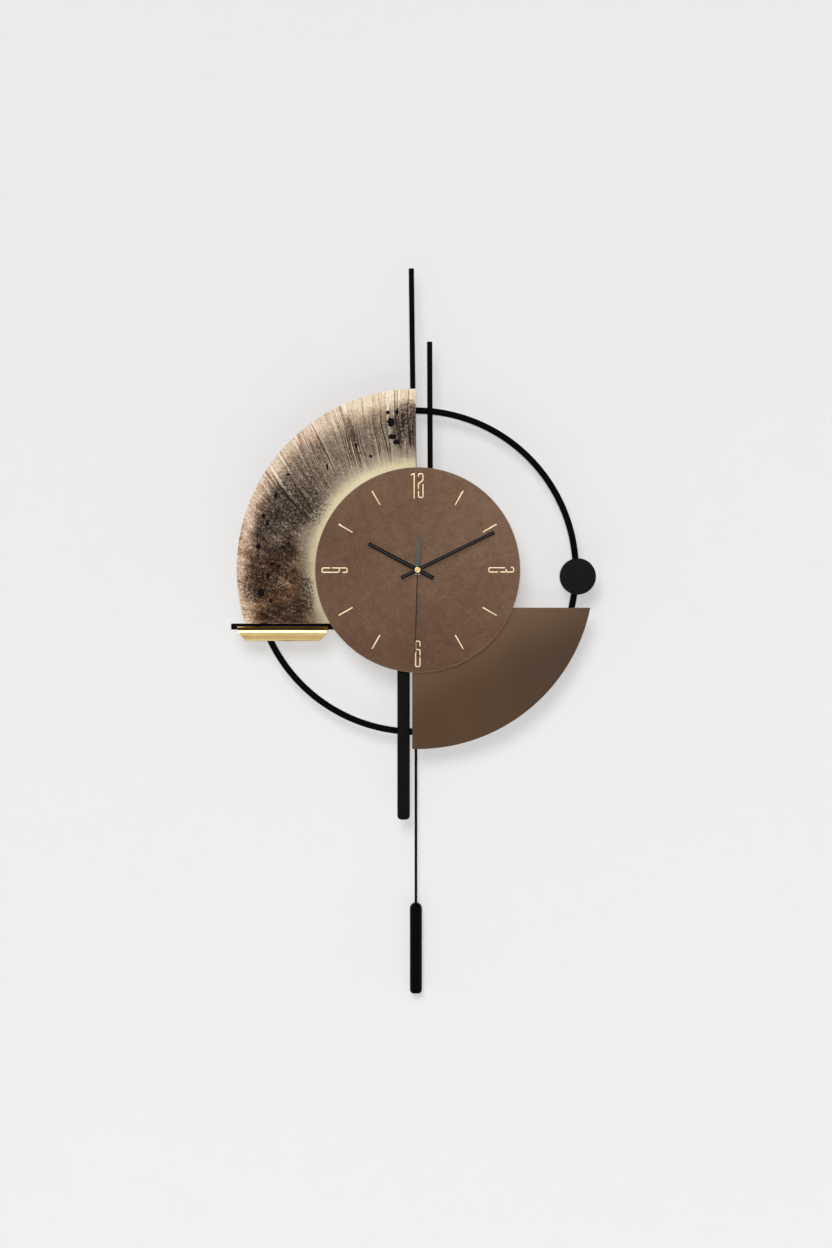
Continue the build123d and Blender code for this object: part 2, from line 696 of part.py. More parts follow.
def centre_wheel():
    wheel = pitch_radii(THIRD_SPACING, THIRD_PINION, CENTRE_TEETH)[1]
    phase = meshing_phase(0.0, THIRD_PINION, CENTRE_TEETH, THIRD_DIRECTION + 180)
    body = gear((0, 0), CENTRE_TEETH, wheel, phase, CENTRE_LAYER, CENTRE_LAYER + WHEEL_THICKNESS)
    body += disc((0, 0), 2.4, CENTRE_LAYER - 0.4, CENTRE_LAYER)
    return body - disc((0, 0), CENTRE_SLEEVE + SHAFT_GAP, CENTRE_LAYER - 1, CENTRE_LAYER + 2)


def cannon_pinion():
    """Minute pipe with its pinion and the sleeve that the centre wheel slips on."""
    pinion = pitch_radii(MOTION_SPACING, CANNON_TEETH, MOTION_TEETH)[0]
    top = MOTION_LAYER + WHEEL_THICKNESS + PINION_OVERHANG
    body = gear((0, 0), CANNON_TEETH, pinion, 0.0, MOTION_LAYER - PINION_OVERHANG, top)
    body += disc((0, 0), CENTRE_SLEEVE, CENTRE_LAYER - 0.5, MOTION_LAYER)
    body += disc((0, 0), MINUTE_PIPE, top, MINUTE_PIPE_FRONT)
    return body - disc((0, 0), SECOND_ARBOR + SHAFT_GAP, SECOND_LAYER, MINUTE_PIPE_FRONT)


def clutch_spring():
    front = MOTION_LAYER - PINION_OVERHANG
    return collar((0, 0), 3.2, CENTRE_SLEEVE, CENTRE_LAYER + WHEEL_THICKNESS + 0.1, front)


def motion_wheel():
    wheel = pitch_radii(MOTION_SPACING, CANNON_TEETH, MOTION_TEETH)[1]
    pinion = pitch_radii(MOTION_SPACING, MOTION_PINION, HOUR_TEETH)[0]
    phase = meshing_phase(0.0, CANNON_TEETH, MOTION_TEETH, MOTION_DIRECTION)
    gears = (MOTION_TEETH, wheel, phase), (MOTION_PINION, pinion, 0.0)
    body = wheel_and_pinion(MOTION_AXIS, *gears, MOTION_LAYER, HOUR_LAYER, WHEEL_ARBOR)
    return body - disc(MOTION_AXIS, MOTION_STUD + SHAFT_GAP, CENTRE_LAYER, CASE_FRONT)


def hour_wheel():
    wheel = pitch_radii(MOTION_SPACING, MOTION_PINION, HOUR_TEETH)[1]
    phase = meshing_phase(0.0, MOTION_PINION, HOUR_TEETH, MOTION_DIRECTION + 180)
    body = gear((0, 0), HOUR_TEETH, wheel, phase, HOUR_LAYER, HOUR_LAYER + WHEEL_THICKNESS)
    body += disc((0, 0), HOUR_PIPE, HOUR_LAYER, HOUR_PIPE_FRONT)
    return body - disc((0, 0), MINUTE_PIPE + SHAFT_GAP, MOTION_LAYER, HOUR_PIPE_FRONT)


def setting_shaft():
    """Pinion in mesh with the motion wheel, on the shaft of the setting knob."""
    pinion = pitch_radii(MOTION_SPACING, SETTING_TEETH, MOTION_TEETH)[0]
    motion_phase = meshing_phase(0.0, CANNON_TEETH, MOTION_TEETH, MOTION_DIRECTION)
    phase = meshing_phase(motion_phase, MOTION_TEETH, SETTING_TEETH, MOTION_DIRECTION)
    top = MOTION_LAYER + WHEEL_THICKNESS + PINION_OVERHANG
    body = gear(SETTING_AXIS, SETTING_TEETH, pinion, phase, MOTION_LAYER - PINION_OVERHANG, top)
    return body + disc(SETTING_AXIS, SETTING_SHAFT_RADIUS, SETTING_SHAFT_BACK, PIVOT_FRONT)


def setting_knob():
    knob = disc(SETTING_AXIS, KNOB_RADIUS, KNOB_BACK, KNOB_FRONT)
    for notch in range(KNOB_NOTCHES):
        centre = polar(KNOB_NOTCH_CIRCLE, 360 * notch / KNOB_NOTCHES, SETTING_AXIS)
        knob -= disc(centre, KNOB_NOTCH_RADIUS, KNOB_BACK, KNOB_FRONT)
    return knob - disc(SETTING_AXIS, SETTING_SHAFT_RADIUS, SETTING_SHAFT_BACK, KNOB_FRONT)


# ---------------------------------------------------------------- movement


def movement_case():
    """Front shell with the threaded bush, the gear space and the battery bay."""
    wall = CASE_WALL
    half = CASE_HALF_WIDTH
    shell = block(-half, half, CASE_FOOT, CASE_TOP, COVER_FRONT, CASE_FRONT)
    shell += block(-half, half, BAY_FLOOR, CASE_TOP, CASE_BACK, COVER_FRONT)
    shell = fillet(shell.edges().filter_by(Axis.Y), CASE_CORNER)
    inner = (wall - half, half - wall)
    shell -= block(*inner, CASE_FOOT + wall, BAY_FLOOR - wall, COVER_FRONT, CASE_FRONT - wall)
    shell -= block(*inner, BAY_FLOOR, CASE_TOP - wall, CASE_BACK, CASE_FRONT - 1.0)
    shell += disc((0, 0), BUSH_RADIUS, CASE_FRONT, BUSH_FRONT)
    shell -= disc((0, 0), HOUR_PIPE + SHAFT_GAP, CASE_FRONT - wall, BUSH_FRONT)
    for axis in (THIRD_AXIS, STEP_AXIS, ROTOR_AXIS):
        shell -= disc(axis, PIVOT_RADIUS + SHAFT_GAP, CASE_FRONT - wall, PIVOT_FRONT + 0.1)
    shell -= disc(SETTING_AXIS, SETTING_SHAFT_RADIUS + SHAFT_GAP, CASE_FRONT - wall, PIVOT_FRONT + 0.1)
    return shell + disc(MOTION_AXIS, MOTION_STUD, MOTION_LAYER - 0.3, CASE_FRONT - wall)


def movement_cover():
    """Rear cover of the gear space with the rear bearings."""
    half = CASE_HALF_WIDTH
    cover = block(-half, half, CASE_FOOT, BAY_FLOOR, CASE_BACK, COVER_FRONT)
    lower_corners = cover.edges().filter_by(Axis.Y).sort_by(Axis.Z)[:2]
    cover = fillet(lower_corners, CASE_CORNER)
    for axis in (THIRD_AXIS, STEP_AXIS, ROTOR_AXIS):
        cover -= disc(axis, PIVOT_RADIUS + SHAFT_GAP, PIVOT_BACK - 0.1, COVER_FRONT)
    cover -= disc((0, 0), SECOND_ARBOR + SHAFT_GAP, PIVOT_BACK - 0.1, COVER_FRONT)
    return cover - disc(SETTING_AXIS, SETTING_SHAFT_RADIUS + SHAFT_GAP, CASE_BACK, COVER_FRONT)


def gasket():
    return collar((0, 0), GASKET_RADIUS, BUSH_RADIUS, CASE_FRONT, DIAL_BACK)


def stator():
    """Plate round the rotor magnet, with two legs down to the core that closes the loop."""
    left, right = 6.0, 23.5
    low, high = CORE_LEVELS
    middle = ROTOR_AXIS[1]
    outline = Pos(*ROTOR_AXIS) * Circle(4.9) + box_outline(left, right, middle - 2, middle + 2)
    outline += box_outline(left, left + 3, low, middle)
    outline += box_outline(right - 3, right, low, middle)
    plate = slab(outline - Pos(*ROTOR_AXIS) * Circle(3.1), CORE_DEPTHS[1], CORE_DEPTHS[1] + 1.0)
    core = block(left, right, low, high, *CORE_DEPTHS)
    return Compound([plate.solid(), core.solid()])


def coil_bobbin():
    """Square tube on the core with a flange at each end."""
    tube = block(9.5, 20.0, -23.8, -18.2, 24.2, 26.8)
    for left in (9.5, 19.2):
        tube += block(left, left + 0.8, -25.0, -17.0, 22.0, 29.0)
    return tube - block(9.0, 21.0, *CORE_LEVELS, *CORE_DEPTHS)


def coil_winding():
    return block(10.3, 19.2, -24.6, -17.4, 22.4, 28.6) - block(10.0, 19.5, -23.8, -18.2, 24.2, 26.8)


def circuit_board():
    """Board with its chip under a drop of resin and a quartz can."""
    board = block(-25.0, 3.0, -32.0, -16.0, 22.3, 23.1)
    drop = disc((-16.0, -24.0), 3.2, 23.1, 24.3)
    drop = fillet(drop.edges().filter_by(GeomType.CIRCLE).sort_by(Axis.Y)[0], 0.9)
    can = rod((-6.0, -21.0, 24.2), (-0.5, -21.0, 24.2), 1.1)
    return Compound([board.solid(), drop.solid(), can.solid()])


BATTERY_AXIS = ((BAY_FLOOR + CASE_TOP - CASE_WALL) / 2, BATTERY_DEPTH)


def battery():
    height, depth = BATTERY_AXIS
    left, right = BATTERY_ENDS
    body = rod((left, height, depth), (right, height, depth), BATTERY_RADIUS, 0.6)
    return body + rod((right - 0.5, height, depth), (NUB_END, height, depth), NUB_RADIUS)


def contact_positive():
    height = BATTERY_AXIS[0]
    return block(25.5, 26.8, height - CONTACT_HALF, height + CONTACT_HALF, *CONTACT_DEPTHS)


def contact_negative():
    """Leaf with a coned spring that presses on the flat end of the battery."""
    height, depth = BATTERY_AXIS
    leaf = block(-26.8, -26.3, height - CONTACT_HALF, height + CONTACT_HALF, *CONTACT_DEPTHS)
    spring = Plane(origin=(-26.3, -depth, height), z_dir=(1, 0, 0)) * Circle(3.5)
    return leaf + extrude(spring, amount=1.1, taper=35)


# ---------------------------------------------------------------- pendulum


def drive_outline(inset=0.0):
    half = DRIVE_HALF_WIDTH - inset
    return box_outline(PENDULUM_X - half, PENDULUM_X + half, DRIVE_FOOT + inset, DRIVE_TOP - inset)


def drive_case():
    """Box open at the back, with a slot in its floor for the lever."""
    outer = fillet(drive_outline().vertices(), CASE_CORNER)
    case = slab(outer, DRIVE_BACK + DRIVE_WALL, CASE_BACK)
    case -= slab(drive_outline(DRIVE_WALL), DRIVE_BACK + DRIVE_WALL, CASE_BACK - DRIVE_WALL)
    half = SLOT_HALF_WIDTH
    case -= block(PENDULUM_X - half, PENDULUM_X + half, DRIVE_FOOT - 1, DRIVE_FOOT + 2, *SLOT_DEPTHS)
    return case - pivot_pin()


def drive_cover():
    outline = fillet(drive_outline().vertices(), CASE_CORNER)
    return slab(outline, DRIVE_BACK, DRIVE_BACK + DRIVE_WALL) - pivot_pin()


def pivot_pin():
    return disc((PENDULUM_X, PIVOT_HEIGHT), PIVOT_PIN_RADIUS, DRIVE_BACK + 0.8, CASE_BACK - 0.8)


def drive_coil():
    """Winding on an iron core, fixed behind the magnet of the lever."""
    centre = (PENDULUM_X, MAGNET_HEIGHT)
    back = DRIVE_BACK + DRIVE_WALL
    winding = collar(centre, COIL_RADIUS, COIL_CORE_RADIUS, back, back + COIL_HEIGHT)
    core = disc(centre, COIL_CORE_RADIUS, back, back + COIL_HEIGHT)
    return Compound([winding.solid(), core.solid()])


def pendulum_lever():
    """Arm with a bearing eye, a magnet pocket and a fork that holds the hook pin."""
    half = LEVER_HALF_WIDTH
    back = PENDULUM_DEPTH - LEVER_HALF_THICKNESS
    front = PENDULUM_DEPTH + LEVER_HALF_THICKNESS
    pivot = Pos(PENDULUM_X, PIVOT_HEIGHT)
    pocket = Pos(PENDULUM_X, MAGNET_HEIGHT)
    outline = box_outline(PENDULUM_X - half, PENDULUM_X + half, LEVER_FOOT, PIVOT_HEIGHT)
    outline += pivot * Circle(LEVER_EYE_RADIUS)
    outline += pocket * Circle(LEVER_POCKET_RADIUS)
    outline -= pivot * Circle(PIVOT_PIN_RADIUS + SHAFT_GAP)
    outline -= pocket * Circle(MAGNET_RADIUS)
    lever = slab(outline, back, front)
    high, low = FORK_HEIGHTS
    cheek = FORK_THICKNESS
    lever += block(PENDULUM_X - half, PENDULUM_X + half, high, LEVER_FOOT + 0.4, back - cheek, front + cheek)
    for depth in (back - cheek, front):
        lever += block(PENDULUM_X - half, PENDULUM_X + half, low, high, depth, depth + cheek)
    return lever - hook_pin()


def lever_magnet():
    centre = (PENDULUM_X, MAGNET_HEIGHT)
    half = LEVER_HALF_THICKNESS
    return disc(centre, MAGNET_RADIUS, PENDULUM_DEPTH - half, PENDULUM_DEPTH + half)


def hook_pin():
    centre = (PENDULUM_X, HOOK_PIN_HEIGHT)
    half = HOOK_PIN_HALF_LENGTH
    return disc(centre, HOOK_PIN_RADIUS, PENDULUM_DEPTH - half, PENDULUM_DEPTH + half)


def pendulum_rod():
    """Straight rod with a wire eye at its top that hangs on the hook pin."""
    eye_height = HOOK_PIN_HEIGHT + HOOK_PIN_RADIUS + EYE_WIRE - EYE_RADIUS
    eye = hoop((PENDULUM_X, eye_height), EYE_RADIUS, EYE_WIRE, PENDULUM_DEPTH)
    top = (PENDULUM_X, eye_height - EYE_RADIUS, PENDULUM_DEPTH)
    foot = (PENDULUM_X, BOB_TOP - BOB_SOCKET, PENDULUM_DEPTH)
    return eye + rod(foot, top, PENDULUM_ROD_RADIUS)


def pendulum_bob():
    """Slim cylinder with a domed top and a rounded foot, bored for the rod."""
    foot = (PENDULUM_X, BOB_FOOT, PENDULUM_DEPTH)
    top = (PENDULUM_X, BOB_TOP, PENDULUM_DEPTH)
    bob = rod(foot, top, BOB_RADIUS)
    rims = bob.edges().filter_by(GeomType.CIRCLE).sort_by(Axis.Z)
    bob = fillet(rims[-1], BOB_TOP_ROUNDING)
    bob = fillet(bob.edges().filter_by(GeomType.CIRCLE).sort_by(Axis.Z)[0], BOB_FOOT_ROUNDING)
    return bob - rod((PENDULUM_X, BOB_TOP - BOB_SOCKET, PENDULUM_DEPTH), top, PENDULUM_ROD_RADIUS)


# ---------------------------------------------------------------- assembly

NODES = {
    "ring_rod": ring_rod(),
    "tall_rod": upright(TALL_ROD_TOP, TALL_ROD_FOOT),
    "short_rod": upright(SHORT_ROD_TOP, SHORT_ROD_FOOT),
    "horizon_rod": horizon_rod(),
    "hanging_bar": hanging_bar(),
    "mounting_plate": mounting_plate(),
    "panel_tabs": panel_tabs(),
    "panel_screws": panel_screws(),
    "wood_panel_board": wood_panel_board(),
    "wood_panel_print": wood_panel_print(),
    "brown_panel": brown_panel(),
    "accent_disc": accent_disc(),
    "accent_stud": accent_stud(),
    "gold_trough": gold_trough(),
    "standoff_posts": standoff_posts(),
    "rubber_feet": rubber_feet(),
    "hanger_bracket": hanger_bracket(),
    "hanger_rivets": hanger_rivets(),
    "dial_board": dial_board(),
    "dial_leather": dial_leather(),
    "dial_screws": dial_screws(),
    "dial_spacers": dial_spacers(),
    "numerals": numerals(),
    "hour_batons": hour_batons(),
    "washer": washer(),
    "hex_nut": hex_nut(),
    "hour_hand": stick_hand(HOUR_HAND, HOUR_PIPE),
    "minute_hand": stick_hand(MINUTE_HAND, MINUTE_PIPE),
    "second_hand": second_hand(),
    "second_hand_cap": second_hand_cap(),
    "movement_case": movement_case(),
    "movement_cover": movement_cover(),
    "gasket": gasket(),
    "rotor_pinion": rotor_pinion(),
    "rotor_magnet": rotor_magnet(),
    "step_wheel": step_wheel(),
    "second_wheel": second_wheel(),
    "third_wheel": third_wheel(),
    "centre_wheel": centre_wheel(),
    "clutch_spring": clutch_spring(),
    "cannon_pinion": cannon_pinion(),
    "motion_wheel": motion_wheel(),
    "hour_wheel": hour_wheel(),
    "setting_shaft": setting_shaft(),
    "setting_knob": setting_knob(),
    "stator": stator(),
    "coil_bobbin": coil_bobbin(),
    "coil_winding": coil_winding(),
    "circuit_board": circuit_board(),
    "battery": battery(),
    "battery_contacts": Compound([contact_positive().solid(), contact_negative().solid()]),
    "drive_case": drive_case(),
    "drive_cover": drive_cover(),
    "pivot_pin": pivot_pin(),
    "drive_coil": drive_coil(),
    "pendulum_lever": pendulum_lever(),
    "lever_magnet": lever_magnet(),
    "hook_pin": hook_pin(),
    "pendulum_rod": pendulum_rod(),
    "pendulum_bob": pendulum_bob(),
}

os.makedirs("parts", exist_ok=True)
for name, shape in NODES.items():
    export_step(Pos(0, 0, -HANGER_HEIGHT) * shape, f"parts/{name}.step")
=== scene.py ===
"""Wall clock with a free-hanging pendulum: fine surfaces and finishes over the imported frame.

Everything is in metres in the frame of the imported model: x to the right, z up, and the room
in front of the clock at -y. The wall plane is y = 0 and the origin is the keyhole.
"""

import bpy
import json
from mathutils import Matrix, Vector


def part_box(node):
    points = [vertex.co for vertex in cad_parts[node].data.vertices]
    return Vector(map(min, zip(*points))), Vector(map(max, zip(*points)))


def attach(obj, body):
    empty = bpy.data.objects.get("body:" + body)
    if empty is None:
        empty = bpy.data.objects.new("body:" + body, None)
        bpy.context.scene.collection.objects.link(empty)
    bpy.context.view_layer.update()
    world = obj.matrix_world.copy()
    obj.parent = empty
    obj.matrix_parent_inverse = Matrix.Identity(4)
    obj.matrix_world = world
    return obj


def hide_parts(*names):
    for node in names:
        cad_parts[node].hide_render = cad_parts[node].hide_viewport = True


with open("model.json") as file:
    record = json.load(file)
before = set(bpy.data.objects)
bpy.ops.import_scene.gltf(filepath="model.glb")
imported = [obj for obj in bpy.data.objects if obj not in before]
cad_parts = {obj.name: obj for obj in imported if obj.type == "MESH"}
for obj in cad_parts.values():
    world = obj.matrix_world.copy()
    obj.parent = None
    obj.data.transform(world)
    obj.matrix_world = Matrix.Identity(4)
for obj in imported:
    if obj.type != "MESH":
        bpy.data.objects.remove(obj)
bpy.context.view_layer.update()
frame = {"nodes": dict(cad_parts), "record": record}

import json
import logging
import math
from dataclasses import dataclass, field
from enum import Enum
from typing import Any, Iterable, Sequence

import bmesh
import bpy
import numpy as np
from mathutils import Vector

LOG = logging.getLogger("clock")
MM = 0.001
Socket = Any
Colour = tuple[float, float, float]


# ---------------------------------------------------------------- the frame's sizes


@dataclass(frozen=True)
class Box:
    """Box of one CAD node at rest: lowest and highest corner in metres."""

    low: np.ndarray
    high: np.ndarray

    @classmethod
    def of(cls, node: str) -> "Box":
        """Reads the box of a CAD node.

        Args:
            node: the node's name.

        Returns:
            Its box.
        """
        low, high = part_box(node)
        return cls(np.array(low), np.array(high))

    @property
    def middle(self) -> np.ndarray:
        """Middle point of the box."""
        return (self.low + self.high) / 2

    @property
    def size(self) -> np.ndarray:
        """Edge lengths of the box."""
        return self.high - self.low


AXIS = Box.of("washer").middle[[0, 2]]
AXIS_POINT = (float(AXIS[0]), 0.0, float(AXIS[1]))


# ---------------------------------------------------------------- surfaces


def face(x: np.ndarray, z: np.ndarray, y: np.ndarray | float) -> np.ndarray:
    """Stacks face-plane coordinates and a height y into points.

    Args:
        x: positions to the right.
        z: positions upwards.
        y: positions away from the room, one number or an array.

    Returns:
        Points with x, y and z in the last axis.
    """
    x, z, y = np.broadcast_arrays(x, z, y)
    return np.stack([x, y, z], axis=-1)


def quads(rows: int, columns: int, ring: bool) -> np.ndarray:
    """Quads of a grid of points, row by row.

    Args:
        rows: number of point rows.
        columns: number of points in a row.
        ring: whether each row closes on itself.

    Returns:
        Corner indices, four to a face.
    """
    across = columns if ring else columns - 1
    row, column = np.meshgrid(np.arange(rows - 1), np.arange(across), indexing="ij")
    after = (column + 1) % columns
    here, above = row * columns, (row + 1) * columns
    corners = [here + column, here + after, above + after, above + column]
    return np.stack(corners, axis=-1).reshape(-1, 4)


@dataclass
class Shape:
    """Points and faces that are gathered from several surfaces before they become one mesh."""

    points: list[np.ndarray] = field(default_factory=list)
    faces: list[list[int]] = field(default_factory=list)
    tones: list[int] = field(default_factory=list)
    count: int = 0

    def add(
        self, grid: np.ndarray, ring: bool = True, caps: bool = True, tone: int = 0,
        cap_tone: int | None = None
    ) -> "Shape":
        """Adds a surface given as rows of points.

        Args:
            grid: points, rows by columns by 3.
            ring: whether each row closes on itself.
            caps: whether the first and last row are filled with a flat face.
            tone: material index of the faces.
            cap_tone: material index of the last row's fill, if it differs.

        Returns:
            The shape itself.
        """
        rows, columns = grid.shape[:2]
        made = (quads(rows, columns, ring) + self.count).tolist()
        self.faces += made
        self.tones += [tone] * len(made)
        if caps:
            first = np.arange(columns)[::-1] + self.count
            last = np.arange(columns) + (rows - 1) * columns + self.count
            self.faces += [first.tolist(), last.tolist()]
            self.tones += [tone, tone if cap_tone is None else cap_tone]
        self.points.append(grid.reshape(-1, 3))
        self.count += rows * columns
        return self

    def build(
        self, name: str, body: str, slot: str, replaces: Sequence[str] = (), sharp: float = 35.0
    ) -> bpy.types.Object:
        """Makes the mesh, closes its poles, turns its faces outwards and hands it to the frame.

        Args:
            name: name of the piece.
            body: CAD body that it rides on.
            slot: material slot of the record; not used.
            replaces: CAD nodes that it stands for.
            sharp: edges that turn by more than this many degrees stay crisp.

        Returns:
            The piece.
        """
        mesh = bpy.data.meshes.new(name)
        mesh.from_pydata(np.concatenate(self.points).tolist(), [], self.faces)
        mesh.polygons.foreach_set("material_index", self.tones)
        solid = bmesh.new()
        solid.from_mesh(mesh)
        bmesh.ops.remove_doubles(solid, verts=solid.verts, dist=1e-7)
        bmesh.ops.recalc_face_normals(solid, faces=solid.faces)
        solid.to_mesh(mesh)
        solid.free()
        mesh.shade_smooth()
        mesh.set_sharp_from_angle(angle=math.radians(sharp))
        piece = bpy.data.objects.new(name, mesh)
        bpy.context.scene.collection.objects.link(piece)
        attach(piece, body)
        if replaces:
            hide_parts(*replaces)
        LOG.info("%s: %d faces on %s", name, len(mesh.polygons), body)
        return piece


def circle(steps: int) -> np.ndarray:
    """Angles of a full turn, without the closing one."""
    return np.linspace(0.0, 2 * np.pi, steps, endpoint=False)


def turned(profile: np.ndarray, centre: Sequence[float], steps: int = 96) -> np.ndarray:
    """Surface of revolution about a line that runs straight out of the wall.

    Each profile point (radius, y) is carried round the centre: x = cx + radius * cos(t),
    z = cz + radius * sin(t).

    Args:
        profile: radii and y positions, in the order of the surface.
        centre: x and z of the turning axis.
        steps: points round the axis.

    Returns:
        Grid of points, profile by steps.
    """
    turn = circle(steps)
    x = centre[0] + profile[:, :1] * np.cos(turn)
    z = centre[1] + profile[:, :1] * np.sin(turn)
    return face(x, z, np.repeat(profile[:, 1:], steps, axis=1))


def rounded_profile(radius: float, back: float, front: float, edge: float, steps: int = 5) -> np.ndarray:
    """Half section of a round plate with rounded rims, from the middle of one face to the other.

    The rims are quarter circles: radius - edge * (1 - sin(t)) and front + edge * (1 - cos(t)).

    Args:
        radius: outer radius.
        back: y of the face next to the wall.
        front: y of the face next to the room.
        edge: rim radius.
        steps: points on each rim.

    Returns:
        Radii and y positions.
    """
    t = np.linspace(0.0, np.pi / 2, steps)
    support = radius - 2 * edge
    rim = np.stack([radius - edge * (1 - np.sin(t)), edge * (1 - np.cos(t))], axis=1)
    lower = np.stack([rim[:, 0], back - rim[:, 1]], axis=1)
    upper = np.stack([rim[::-1, 0], front + rim[::-1, 1]], axis=1)
    ends = [[0.0, back], [support, back]], [[support, front], [0.0, front]]
    return np.concatenate([ends[0], lower, upper, ends[1]])


def turned_across(profile: np.ndarray, middle: np.ndarray, steps: int = 64) -> np.ndarray:
    """Surface of revolution about a level line along x: y = cy + radius * cos(t), z = cz + radius * sin(t).

    Args:
        profile: x positions and radii, in the order of the surface.
        middle: any point of the turning line.
        steps: points round the line.

    Returns:
        Grid of points, profile by steps.
    """
    turn = circle(steps)
    y = middle[1] + profile[:, 1:] * np.cos(turn)
    z = middle[2] + profile[:, 1:] * np.sin(turn)
    return face(np.repeat(profile[:, :1], steps, axis=1), z, y)


def coil_grid(
    ends: tuple[float, float], radii: tuple[float, float], turns: float, wire: float, middle: np.ndarray
) -> np.ndarray:
    """Coned wire coil about a level line along x.

    The path is (x, r cos(t), r sin(t)) with x and r running evenly between their ends; the wire's
    section lies in the plane of the outward direction and its cross product with the path.

    Args:
        ends: x of the first and last turn.
        radii: coil radius at both ends.
        turns: number of turns.
        wire: wire radius.
        middle: any point of the coil's line.

    Returns:
        Grid of points, path by section.
    """
    share = np.linspace(0.0, 1.0, int(turns * 32))
    turn = share * turns * 2 * np.pi
    outwards = np.stack([np.zeros_like(turn), np.cos(turn), np.sin(turn)], axis=1)
    radius = radii[0] + (radii[1] - radii[0]) * share
    path = np.array([0.0, middle[1], middle[2]]) + outwards * radius[:, None]
    path[:, 0] = ends[0] + (ends[1] - ends[0]) * share
    along = np.gradient(path, axis=0)
    along /= np.linalg.norm(along, axis=1, keepdims=True)
    sideways = np.cross(along, outwards)
    section = circle(10)[None, :, None]
    spoke = np.cos(section) * outwards[:, None, :] + np.sin(section) * sideways[:, None, :]
    return path[:, None, :] + wire * spoke


def cross_head(
    centre: Sequence[float], radius: float, height: float, shank: float, top: float, tip: float
) -> np.ndarray:
    """Pan-head screw with a cross recess, its head towards the wall.

    Over the head y = top - height * 0.3 * (r / R)^2 - recess, where the recess is full where the
    smaller of |x| and |z| is under a sixth of R and the larger under 0.6 R, and fades out beyond.

    Args:
        centre: x and z of the screw.
        radius: head radius R.
        height: head height.
        shank: shank radius.
        top: y of the head's crown.
        tip: y of the shank's tip.

    Returns:
        Grid of points, profile by 96.
    """
    turn = circle(96)
    reach = np.linspace(0.0, 1.0, 26)[:, None]
    x, z = reach * np.cos(turn), reach * np.sin(turn)
    near, far = np.minimum(abs(x), abs(z)), np.maximum(abs(x), abs(z))
    recess = np.clip((0.2 - near) / 0.07, 0, 1) * np.clip((0.64 - far) / 0.08, 0, 1) * 0.55 * height
    crown = top - 0.3 * height * reach**2 - recess
    lower = np.array(
        [[1.0, top - height], [shank / radius, top - height], [shank / radius, tip + 0.3 * MM], [0.0, tip]]
    )
    r = np.concatenate([reach, lower[:, :1]]) * radius
    y = np.concatenate([crown, np.repeat(lower[:, 1:], 96, axis=1)])
    return face(centre[0] + r * np.cos(turn), centre[1] + r * np.sin(turn), y)


def inset(outline: np.ndarray, distance: float) -> np.ndarray:
    """Moves a closed outline inwards along its mitred corner normals.

    Each corner moves by distance * (n1 + n2) / (1 + n1 . n2), with n1 and n2 the inward normals
    of the two edges that meet there.

    Args:
        outline: corner points (x, z), counter-clockwise.
        distance: how far inwards.

    Returns:
        The moved outline.
    """
    edge = np.roll(outline, -1, axis=0) - outline
    edge /= np.linalg.norm(edge, axis=1, keepdims=True)
    after = np.stack([-edge[:, 1], edge[:, 0]], axis=1)
    before = np.roll(after, 1, axis=0)
    share = 1 + np.sum(before * after, axis=1, keepdims=True)
    return outline + distance * (before + after) / np.maximum(share, 0.35)


def slab(outline: np.ndarray, back: float, front: float, edge: float, steps: int = 4) -> np.ndarray:
    """Plate of any outline with rounded rims, as rings of points from its back to its front.

    Ring k lies edge * (1 - sin(t)) inside the outline and edge * (1 - cos(t)) from the face.

    Args:
        outline: corner points (x, z), counter-clockwise.
        back: y of the face next to the wall.
        front: y of the face next to the room.
        edge: rim radius.
        steps: rings on each rim.

    Returns:
        Grid of points, rings by corners.
    """
    t = np.linspace(0.0, np.pi / 2, steps)
    side, depth = edge * (1 - np.sin(t)), edge * (1 - np.cos(t))
    inwards = np.concatenate([[2 * edge], side, side[::-1], [2 * edge]])
    heights = np.concatenate([[back], back - depth, front + depth[::-1], [front]])
    rings = [inset(outline, distance) for distance in inwards]
    return np.stack([face(ring[:, 0], ring[:, 1], y) for ring, y in zip(rings, heights)])


def rod_grid(
    start: Sequence[float], end: Sequence[float], radius: float, tip: float, steps: int = 32
) -> np.ndarray:
    """Round bar between two points whose end rims are quarter circles.

    Args:
        start: first end point.
        end: last end point.
        radius: bar radius.
        tip: rim radius of the ends.
        steps: points round the bar.

    Returns:
        Grid of points along and round the bar.
    """
    first, last = np.array(start, float), np.array(end, float)
    length = np.linalg.norm(last - first)
    along = (last - first) / length
    helper = np.array([0.0, 1.0, 0.0]) if abs(along[1]) < 0.9 else np.array([1.0, 0.0, 0.0])
    side = np.cross(along, helper)
    side /= np.linalg.norm(side)
    other = np.cross(along, side)
    t = np.linspace(0.0, np.pi / 2, 6)
    lost, along_tip = tip * (1 - np.sin(t)), tip * (1 - np.cos(t))
    reach = np.concatenate([[0.0], radius - lost, radius - lost[::-1], [0.0]])
    place = np.concatenate([[0.0], along_tip, length - along_tip[::-1], [length]])
    turn = circle(steps)[None, :, None]
    spoke = np.cos(turn) * side + np.sin(turn) * other
    return first + place[:, None, None] * along + reach[:, None, None] * spoke


def torus_grid(
    centre: np.ndarray, radius: float, wire: float, around: int = 360, across: int = 28
) -> np.ndarray:
    """Ring of round wire in the face plane; both parameters close on themselves.

    Args:
        centre: middle point of the ring.
        radius: radius of the wire's centre line.
        wire: radius of the wire.
        around: points round the ring.
        across: points round the wire.

    Returns:
        Grid of points; the first row is repeated at the end.
    """
    turn = np.linspace(0.0, 2 * np.pi, around + 1)[:, None]
    section = circle(across)[None, :]
    reach = radius + wire * np.cos(section)
    x, z = centre[0] + reach * np.cos(turn), centre[2] + reach * np.sin(turn)
    return face(x, z, centre[1] + wire * np.sin(section))


